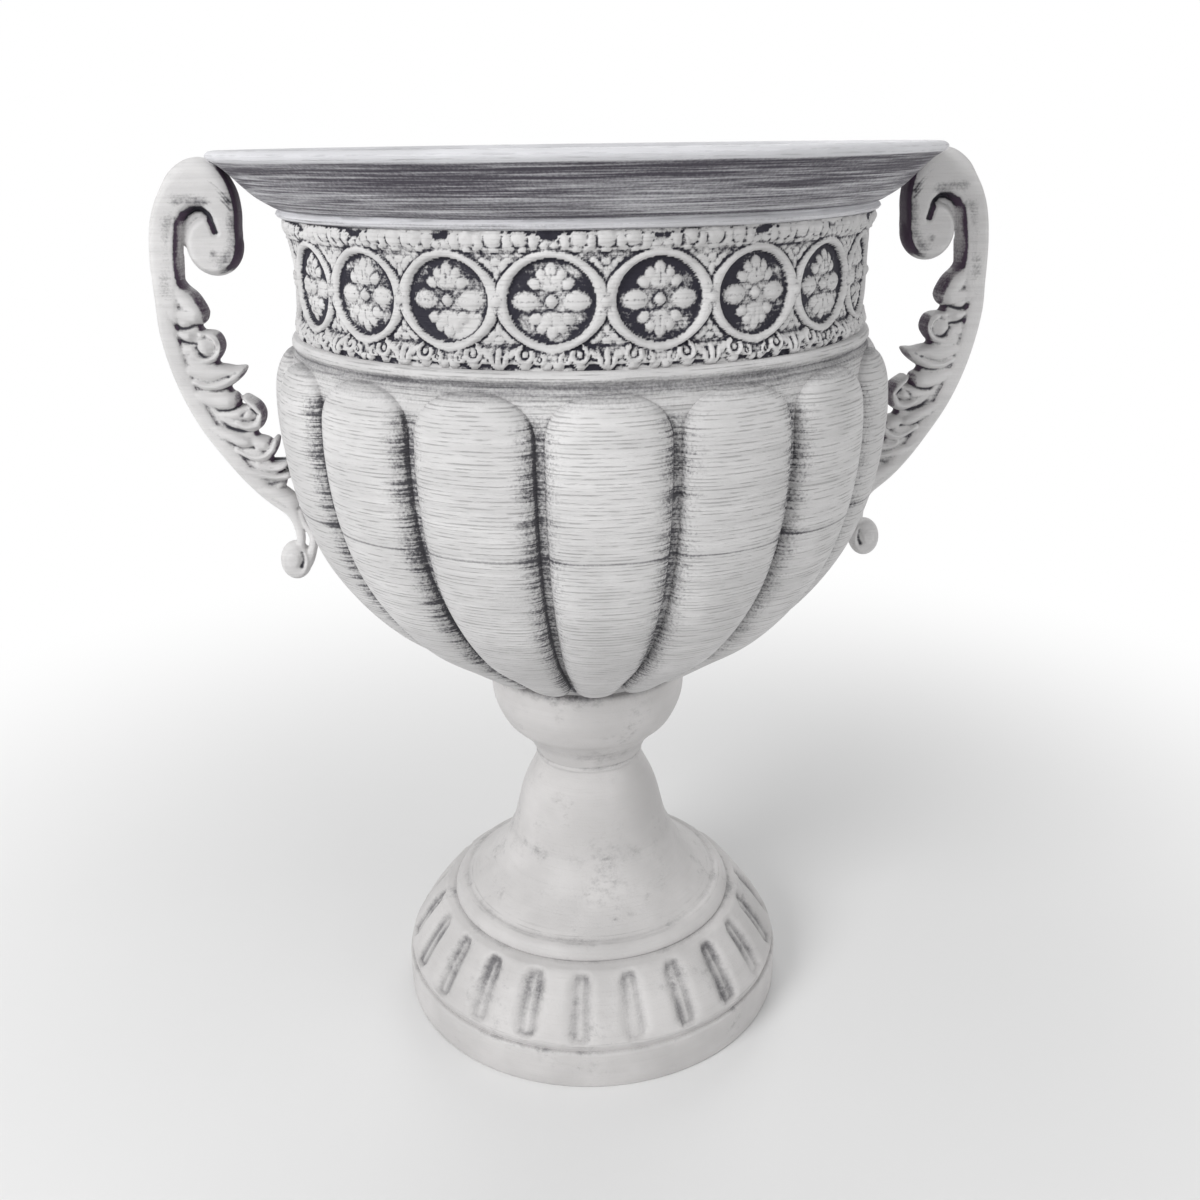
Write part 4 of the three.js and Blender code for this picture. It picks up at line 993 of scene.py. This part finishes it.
LEAVES = [
    [(125.4, 264.5, 1.6, 5.4), (124.2, 260.0, 3.2, 5.6), (121.8, 256.8, 3.7, 5.7),
     (119.6, 253.6, 3.2, 5.8)],
    [(128.0, 254.8, 2.4, 5.2), (123.5, 253.4, 3.2, 5.6), (120.1, 253.2, 3.6, 5.9)],
    [(127.4, 247.6, 1.8, 5.0), (124.8, 247.0, 2.4, 5.4), (122.7, 246.9, 2.6, 5.7)],
    [(124.6, 242.3, 2.4, 4.8), (120.8, 242.8, 3.6, 5.2), (118.2, 243.1, 4.1, 5.2)],
    [(119.4, 247.2, 1.0, 5.0), (115.5, 246.4, 1.3, 5.7), (114.2, 243.3, 1.3, 5.9), (115.8, 240.1, 1.4, 5.9),
     (119.3, 239.0, 1.4, 5.8), (123.0, 240.6, 1.1, 5.3)],
    [(124.2, 236.2, 2.2, 4.8), (121.0, 235.4, 2.7, 5.1), (117.6, 234.9, 3.1, 5.2), (113.6, 235.2, 2.2, 5.2),
     (110.7, 235.2, 1.5, 5.0), (108.3, 235.8, 1.0, 4.6)],
    [(107.6, 235.9, 0.9, 4.6), (109.3, 234.4, 1.4, 5.4), (112.6, 232.4, 1.8, 5.8), (116.1, 231.0, 1.9, 5.9),
     (119.4, 230.9, 1.6, 5.8), (122.9, 232.5, 1.2, 5.3)],
    [(122.6, 228.4, 2.0, 4.8), (118.0, 226.5, 3.2, 5.3), (114.8, 225.9, 3.4, 5.7),
     (112.8, 225.9, 3.1, 5.8)],
    [(115.6, 222.6, 2.0, 4.6), (111.4, 221.9, 2.5, 4.9), (107.3, 221.8, 2.5, 5.0)],
    [(108.2, 226.6, 1.1, 4.8), (105.1, 223.9, 1.4, 5.5), (103.9, 220.9, 1.4, 5.8), (105.2, 218.2, 1.7, 5.9),
     (108.0, 217.5, 1.8, 5.8), (111.4, 219.0, 1.3, 5.2)],
    [(120.2, 219.0, 1.5, 4.6), (117.0, 216.4, 2.5, 5.0), (113.8, 214.6, 3.1, 5.4), (110.6, 212.9, 2.9, 5.7),
     (108.6, 212.3, 2.2, 5.7)],
    [(109.4, 212.4, 1.6, 4.4), (106.1, 211.9, 2.4, 4.8), (103.6, 211.4, 2.3, 4.9)],
    [(99.9, 212.8, 1.0, 4.6), (101.2, 209.9, 1.3, 5.3), (103.4, 207.7, 1.6, 5.6), (106.4, 207.0, 1.5, 5.6),
     (109.6, 208.2, 1.2, 5.1), (112.6, 210.4, 1.0, 4.8)],
    [(106.6, 205.3, 0.9, 4.6), (105.2, 204.5, 1.2, 4.9), (102.6, 203.9, 1.4, 5.3), (99.4, 204.1, 1.5, 5.3),
     (97.4, 205.0, 1.0, 4.6)],
    [(113.4, 205.6, 1.1, 4.7), (111.0, 204.0, 1.5, 5.0), (108.2, 202.6, 1.8, 5.3), (104.1, 201.2, 1.7, 5.4),
     (100.3, 200.3, 1.5, 5.2), (97.1, 200.9, 1.3, 4.6)],
    [(106.6, 197.9, 1.6, 4.6), (103.6, 196.0, 2.6, 4.9), (100.4, 193.9, 3.0, 4.8), (97.7, 191.6, 2.9, 4.2)],
]
BALLS = {  # reach, height, half width, half height, half depth
    "rolled_end": (112.1, 273.9, 8.5, 9.4, 5.9), "rolled_core": (115.0, 277.5, 7.6, 7.2, 2.6),
    "end_ball": (98.0, 171.0, 5.2, 6.6, 3.9), "end_disc": (98.4, 171.9, 2.6, 2.9, 4.5),
}
EYES = [  # reach, height, radius
    (118.8, 241.4, 1.2), (109.9, 235.2, 0.8), (112.0, 233.9, 0.7), (109.4, 221.2, 1.1),
    (112.0, 271.6, 1.2), (97.8, 172.4, 0.6), (95.2, 174.3, 0.9), (105.2, 211.2, 0.9),
]
SLOT = [
    (122.5, 271.5), (121.9, 275.9), (120.9, 280.1), (119.3, 283.0), (116.9, 284.4), (114.4, 284.3),
    (112.4, 282.9), (111.1, 279.9), (110.6, 277.8),
]
FOLDS = [
    [(127.9, 253.6), (125.0, 249.5), (120.9, 249.8), (117.7, 251.1)],
    [(126.8, 249.1), (124.6, 245.4), (120.8, 244.4)],
    [(124.5, 242.7), (121.8, 239.9), (117.5, 238.5), (113.7, 240.2)],
    [(119.6, 246.2), (116.0, 247.0), (114.1, 244.3), (115.9, 240.7), (119.1, 240.3), (120.9, 243.1)],
    [(125.3, 233.7), (121.6, 230.8), (116.4, 229.7), (112.6, 230.5), (107.9, 232.2)],
    [(119.5, 226.1), (116.3, 223.2), (111.7, 223.5), (109.1, 225.7)],
    [(118.2, 222.3), (114.2, 217.9), (109.8, 216.3), (105.2, 216.6)],
    [(111.2, 220.2), (107.6, 222.9), (104.6, 221.8)],
    [(117.2, 215.6), (112.2, 211.6), (107.2, 211.0)],
    [(115.0, 210.8), (109.0, 207.2), (104.4, 206.5), (100.5, 208.3)],
    [(107.3, 205.6), (101.9, 204.0), (97.1, 205.3)],
    [(108.6, 202.8), (103.3, 200.1), (96.8, 199.4)],
    [(107.3, 197.8), (100.6, 198.6), (96.1, 197.4)],
    [(97.4, 177.6), (95.6, 174.8), (95.2, 171.8), (96.0, 169.4)],
]
# Line by the rolled end that gets wash and painted shade.
ROLL = [(122.9, 265.0), *SLOT[:3]]
BAND_EDGE = [(121.9, 282.1), (123.0, 275.0), (124.1, 269.1), (123.6, 261.2)]
INNER_SIDE = [(104.6, 289.5), (104.0, 284.0), (104.5, 278.0), (105.8, 272.0), (109.0, 266.5)]
BAND_SMUDGE = [(124.4, 281.0), (125.2, 276.0), (126.4, 268.0), (127.3, 261.0)]
CROWN_SMUDGE = [(121.0, 287.6), (117.0, 287.4), (113.2, 286.4)]
HATCHES = [
    [(115.0, 293.3), (111.5, 292.7), (108.2, 290.3), (105.2, 286.2)],
    [(111.3, 292.1), (108.4, 289.4), (105.6, 285.6)],
    [(109.7, 288.8), (107.6, 286.8), (105.3, 284.1)],
]


def swept(points, square=2.6):
    """Closed bar along a stroke, a rounded box in section, as points and faces."""
    fine = np.array(through(points, 6))
    along = np.gradient(fine[:, :2], axis=0)
    along /= np.linalg.norm(along, axis=1)[:, None]
    sideways = np.stack([along[:, 1], -along[:, 0]], -1)
    turns = np.linspace(0, 2 * math.pi, 24, endpoint=False)
    power = 2 / square
    c = np.sign(np.cos(turns)) * np.abs(np.cos(turns)) ** power
    d = np.sign(np.sin(turns)) * np.abs(np.sin(turns)) ** power
    last = len(fine) - 1
    sections = [(0, -t) for t in (0.98, 0.85, 0.55)] + [(k, 0) for k in range(last + 1)]
    sections += [(last, t) for t in (0.55, 0.85, 0.98)]
    rings = []
    for k, push in sections:
        thin = math.sqrt(max(1 - push * push, 0.02))
        flat = fine[k, :2] + along[k] * push * fine[k, 2] + np.outer(c * fine[k, 2] * thin, sideways[k])
        rings.append(np.stack([flat[:, 0], d * fine[k, 3] * thin, flat[:, 1]], -1))
    places = np.concatenate(rings) * MM
    around = len(turns)
    faces = []
    for k in range(len(rings) - 1):
        for i in range(around):
            j = (i + 1) % around
            faces.append((k * around + i, k * around + j, (k + 1) * around + j, (k + 1) * around + i))
    faces.append(tuple(range(around - 1, -1, -1)))
    faces.append(tuple((len(rings) - 1) * around + i for i in range(around)))
    return places, faces


def bar(name, stroke, square=2.6):
    """Adds the bar of one stroke to the scene. Square is the power of its rounded section."""
    places, faces = swept(stroke, square)
    mesh = bpy.data.meshes.new(name)
    mesh.from_pydata(places.tolist(), [], faces)
    piece = bpy.data.objects.new(name, mesh)
    bpy.context.collection.objects.link(piece)
    return piece


def ball(name, reach, height, wide, tall, deep):
    """Ball with flat sides in a handle's plane, sizes in mm."""
    before_cut = 1.6 * deep
    deselect()
    bpy.ops.mesh.primitive_uv_sphere_add(segments=40, ring_count=24, radius=1.0)
    piece = named(name)
    bpy.ops.object.mode_set(mode="EDIT")
    bpy.ops.mesh.select_all(action="SELECT")
    bpy.ops.transform.resize(value=(wide * MM, before_cut * MM, tall * MM), center_override=(0, 0, 0))
    bpy.ops.transform.translate(value=(reach * MM, 0, height * MM))
    bpy.ops.object.mode_set(mode="OBJECT")
    places = points_of(piece)
    places[:, 1] = np.clip(places[:, 1], -deep * MM, deep * MM)
    set_points(piece, places)
    return piece


def clear_of_urn(places):
    """Moves points that are in the bowl or the rim out to just off their surfaces."""
    s = sizes()
    gap = 0.0003
    radius = np.hypot(places[:, 0], places[:, 1])
    turn = np.arctan2(places[:, 0], -places[:, 1])
    across = (((turn / (2 * math.pi)) * s.lobes + 0.5) % 1) * 2 - 1
    ground = radius_on(bowl_ground(), places[:, 2])
    height = places[:, 2]
    surface = ground + lobe_rise(across, np.clip(height, KNOP_TOP, SHOULDER_Z)) + gap
    reach = np.where(height < SHOULDER_Z, np.maximum(radius, surface), radius)
    underside = from_here(s.rim_radius, FRIEZE_TOP, [(-16.5, 3.8), (-11.7, 7.0)])
    underside += from_here(s.rim_radius, RIM_TOP - s.lip_height, [(-4.5, -2.4), (0, 0)])
    cone = np.interp(reach, *np.array(underside).T) - gap
    under = (reach < s.rim_radius + gap) & (height > cone)
    outward = under & (reach > s.rim_radius - 0.0016)
    reach = np.where(outward, s.rim_radius + gap, reach)
    height = np.where(under & ~outward, cone, height)
    share = reach / np.maximum(radius, 1e-9)
    return np.stack([places[:, 0] * share, places[:, 1] * share, height], -1)


def carve_handle():
    """Builds the right handle from its strokes and fuses them into one carved form."""
    s = sizes()
    pieces = [bar("band", BAND, 4.2), bar("core", CORE), bar("curled_end", CURLED_END)]
    pieces += [bar(f"leaf_{i}", leaf, 2.2) for i, leaf in enumerate(LEAVES)]
    pieces += [ball(name, *row) for name, row in BALLS.items()]
    deselect()
    for piece in pieces:
        piece.select_set(True)
    bpy.context.view_layer.objects.active = pieces[0]
    bpy.ops.object.join()
    piece = named("handle_carved_right")
    remesh = piece.modifiers.new("fuse", "REMESH")
    remesh.mode = "VOXEL"
    remesh.voxel_size = s.carving_grain
    bpy.ops.object.modifier_apply(modifier=remesh.name)
    soften = piece.modifiers.new("soften", "SMOOTH")
    soften.factor = 0.5
    soften.iterations = 9
    bpy.ops.object.modifier_apply(modifier=soften.name)
    places = points_of(piece)
    places[:, 1] *= 1 - 0.30 * hill(near_line(places, SLOT), 0.9)
    for fold in FOLDS:
        places[:, 1] *= 1 - 0.20 * fold_at(places, fold, 0.9)
    places = clear_of_urn(places)
    places[:, 0] = np.minimum(places[:, 0], CAD_BOX[1].x - 0.00002)
    set_points(piece, places)
    return piece


def near_line(places, line):
    """Distance in mm, in a handle's plane, from each point to a line of (reach, height) points."""
    flat = places[:, [0, 2]] / MM
    nearest = np.full(len(flat), 1e9)
    for start, end in zip(np.array(line), np.array(line)[1:]):
        step = end - start
        share = np.clip(((flat - start) @ step) / (step @ step), 0, 1)
        nearest = np.minimum(nearest, np.linalg.norm(flat - start - share[:, None] * step, axis=1))
    return nearest


def fold_at(places, fold, width):
    """How much of a fold there is at each point. A fold comes in softly at its outer end."""
    line = through(fold, 5)
    whole = hill(near_line(places, line), width)
    start = np.array(line[0])
    span = np.linalg.norm(np.array(line[-1]) - start)
    away = np.linalg.norm(places[:, [0, 2]] / MM - start, axis=1)
    return whole * (0.15 + 0.85 * ease(0.05 * span, 0.55 * span, away))


class URN_OT_handles(bpy.types.Operator):
    """Carve both handles with their volutes, leaves and curled ends."""
    bl_idname = "urn.handles"
    bl_label = "Handles"

    def execute(self, context):
        right = carve_handle()
        activate(right)
        bpy.ops.object.shade_smooth()
        fine = np.clip(hollows(right, spread=4) / MM, -0.15, 0.4)
        broad = np.clip(hollows(right, spread=40) / MM, -0.4, 0.8)
        normals = points_of(right, "normal")
        # Painted shade on faces that turn towards the bowl.
        inward_painted_shade = ease(0.20, 0.70, -normals[:, 0] - 0.15 * np.abs(normals[:, 2]))
        inward_painted_shade *= ease(0.90, 0.60, np.abs(normals[:, 1]))
        places = points_of(right)
        # Painted shade on the bowl-facing sides above the tail.
        edge = inward_painted_shade * ease(0.192, 0.205, places[:, 2])
        front = ease(0.0028, 0.0038, np.abs(places[:, 1]))
        # The volute's bowl-facing side gets deeper painted shade.
        volute = ease(0.262, 0.266, places[:, 2]) * ease(0.120, 0.116, places[:, 0])
        cloud = np.array([noise.fractal(Vector(p) * 90, 0.8, 2.0, 3) for p in places])
        # Wash in the hollows and a cloudy tone, plus painted shade on the bowl-facing sides.
        wash = 0.26 + 2.0 * fine + 0.80 * broad + (0.70 + 0.25 * volute) * edge + 0.16 * cloud
        for reach, height, radius in EYES:
            away = np.hypot(places[:, 0] / MM - reach, places[:, 2] / MM - height)
            wash += 0.42 * front * hill(away, radius)
        slot = near_line(places, SLOT)
        high = ease(0.2785, 0.2845, places[:, 2])
        wash += high * (0.55 * ease(1.3, 0.4, slot) + 0.26 * ease(5.0, 0.8, slot))
        # Wash and painted shade in the crevice where the rolled end meets the band's inner face.
        roll = (1 - high) * ease(1.9, 1.0, near_line(places, ROLL))
        wash += roll * (0.52 + 0.14 * ease(0.272, 0.266, places[:, 2]) - wash)
        for fold in FOLDS:
            wash += 0.15 * fold_at(places, fold, 0.7)
        for hatch in HATCHES:
            wash += 0.36 * fold_at(places, hatch, 0.30)
        wash += 0.38 * hill(near_line(places, BAND_EDGE), 0.50)
        for line, reach, amount in ((INNER_SIDE, (4.2, 0.0), 0.50), (BAND_SMUDGE, (4.4, 0.3), 0.32),
                                    (CROWN_SMUDGE, (3.4, 0.3), 0.32)):
            wash += amount * front * ease(*reach, near_line(places, line))
        paint(right, "wash", np.clip(wash, 0, 1.3))
        # The purple tint of painted shade on the bowl-facing sides and by the rolled end.
        paint(right, "inner", np.maximum(edge, roll))
        dress(right, washed_plaster(
            "handle_plaster_carved", finish_colours().handle_plaster, low=0.32, high=0.98, streaks=0.45,
            specks=0.50, strength=0.95, lines=0.06, roughness=0.56))
        deselect()
        left = right.copy()
        left.data = right.data.copy()
        left.name = left.data.name = "handle_carved_left"
        bpy.context.collection.objects.link(left)
        left.data.transform(Matrix.Diagonal((-1, 1, 1, 1)))
        left.data.flip_normals()
        settle(right, "handle_plaster", "handle_right")
        settle(left, "handle_plaster", "handle_left")
        return {"FINISHED"}


class URN_OT_hardware(bpy.types.Operator):
    """Give the rod, plate, nuts, washers, screws and dowels their steel."""
    bl_idname = "urn.hardware"
    bl_label = "Hardware"

    def execute(self, context):
        material = brushed_steel()
        names = ["tie_rod", "bowl_washer", "bowl_nut", "foot_washer", "foot_nut", "foot_plate"]
        for side in ("right", "left"):
            names += [f"handle_screw_{side}", f"screw_washer_{side}", f"dowel_{side}"]
        for name in names:
            dress(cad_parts[name], material)
        return {"FINISHED"}


# Stage. Lamps are rows of (name, watts, size, place), and the camera's angles are in degrees.

LAMPS = [("window", 9.5, 0.6, (-0.80, -0.75, 0.75)), ("fill", 2.4, 0.9, (0.9, -0.7, 0.5)),
         ("back", 3.0, 0.7, (0.2, 1.0, 0.9))]
LAMPS_FACE = (0, 0, 0.17)  # The place that the lamps are turned to
FLOOR_WIDTH = 12.0
FLOOR_FADE = (0.12, 0.50)  # The floor goes from its own shade to white between these distances
WORLD_STRENGTH = 0.50
CAMERA_PLACE = (-0.0289, -0.3938, 0.3028)
CAMERA_LENS = 36.144
CAMERA_ASIDE, CAMERA_DOWN, CAMERA_ROLL = 0.70, 20.98, -0.82


def soft_light(name, power, size, place):
    """Adds a round lamp that is turned to the urn."""
    lamp = bpy.data.lights.new(name, "AREA")
    lamp.energy = power
    lamp.shape = "DISK"
    lamp.size = size
    holder = bpy.data.objects.new(name, lamp)
    bpy.context.collection.objects.link(holder)
    holder.location = place
    holder.rotation_euler = (Vector(LAMPS_FACE) - Vector(place)).to_track_quat("-Z", "Y").to_euler()


class URN_OT_stage(bpy.types.Operator):
    """Set up the pale floor and backdrop, the soft light and the camera."""
    bl_idname = "urn.stage"
    bl_label = "Stage"

    def execute(self, context):
        scene = context.scene
        deselect()
        bpy.ops.mesh.primitive_plane_add(size=FLOOR_WIDTH)
        floor = named("studio_floor")
        bpy.ops.object.mode_set(mode="EDIT")
        bpy.ops.mesh.select_all(action="SELECT")
        bpy.ops.mesh.subdivide(number_cuts=3)
        bpy.ops.object.mode_set(mode="OBJECT")
        n = Nodes(bpy.data.materials.new("pale_floor"))
        pale = list(finish_colours().backdrop)
        shade = n.ramp(n.noise((3, 3, 3), detail=2.0), 0.2, 0.8)
        n.give(n.surface, {"Base Color": n.mix(shade, [c * 0.97 for c in pale], pale), "Roughness": 0.8})
        away = n.add("ShaderNodeVectorMath", {0: n.place()}, operation="LENGTH").outputs["Value"]
        blend = n.add("ShaderNodeMixShader", {
            0: n.times(n.seen(), n.ramp(away, *FLOOR_FADE)), 1: n.surface.outputs[0],
            2: n.add("ShaderNodeEmission").outputs[0]})
        n.give(n.tree.nodes["Material Output"], {"Surface": blend.outputs[0]})
        dress(floor, n.owner)
        n = Nodes(bpy.data.worlds.new("soft_studio"))
        n.give(n.tree.nodes["Background"], {
            "Color": (1, 1, 1, 1), "Strength": n.scaled(n.seen(), 1 - WORLD_STRENGTH, WORLD_STRENGTH)})
        scene.world = n.owner
        for lamp in LAMPS:
            soft_light(*lamp)
        camera = bpy.data.cameras.new("photo_camera")
        camera.lens = CAMERA_LENS
        camera.sensor_width = 36.0
        camera.sensor_fit = "HORIZONTAL"
        camera.clip_start = 0.01
        holder = bpy.data.objects.new("photo_camera", camera)
        bpy.context.collection.objects.link(holder)
        place = Vector(CAMERA_PLACE)
        aim = math.atan2(-place.y, -place.x) - math.radians(CAMERA_ASIDE)
        pitch = math.radians(CAMERA_DOWN)
        ahead = Vector((math.cos(aim) * math.cos(pitch), math.sin(aim) * math.cos(pitch),
                        -math.sin(pitch)))
        turn = ahead.to_track_quat("-Z", "Y").to_matrix().to_4x4()
        roll = Matrix.Rotation(math.radians(CAMERA_ROLL), 4, "Z")
        holder.matrix_world = Matrix.Translation(place) @ turn @ roll
        scene.camera = holder
        scene.view_settings.view_transform = "Standard"
        return {"FINISHED"}


STEPS = ("rim", "frieze", "bowl", "knop", "stem", "flutes", "base", "handles", "hardware", "stage")


class URN_PT_panel(bpy.types.Panel):
    """Lists the steps and settings of the urn."""
    bl_idname = "URN_PT_panel"
    bl_label = "Antique Urn"
    bl_space_type = "VIEW_3D"
    bl_region_type = "UI"
    bl_category = "Urn"

    def draw(self, context):
        for step in STEPS:
            self.layout.operator(f"urn.{step}")
        for group in (context.scene.urn_sizes, context.scene.urn_finish):
            column = self.layout.column()
            for name in group.__annotations__:
                column.prop(group, name)


CLASSES = (UrnSizes, UrnFinish, URN_OT_rim, URN_OT_frieze, URN_OT_bowl, URN_OT_knop, URN_OT_stem,
           URN_OT_flutes, URN_OT_base, URN_OT_handles, URN_OT_hardware, URN_OT_stage, URN_PT_panel)


def register():
    for kind in CLASSES:
        bpy.utils.register_class(kind)
    bpy.types.Scene.urn_sizes = PointerProperty(type=UrnSizes)
    bpy.types.Scene.urn_finish = PointerProperty(type=UrnFinish)


def unregister():
    del bpy.types.Scene.urn_finish
    del bpy.types.Scene.urn_sizes
    for kind in reversed(CLASSES):
        bpy.utils.unregister_class(kind)


def main():
    register()
    for step in STEPS:
        getattr(bpy.ops.urn, step)()


if __name__ == "__main__":
    main()
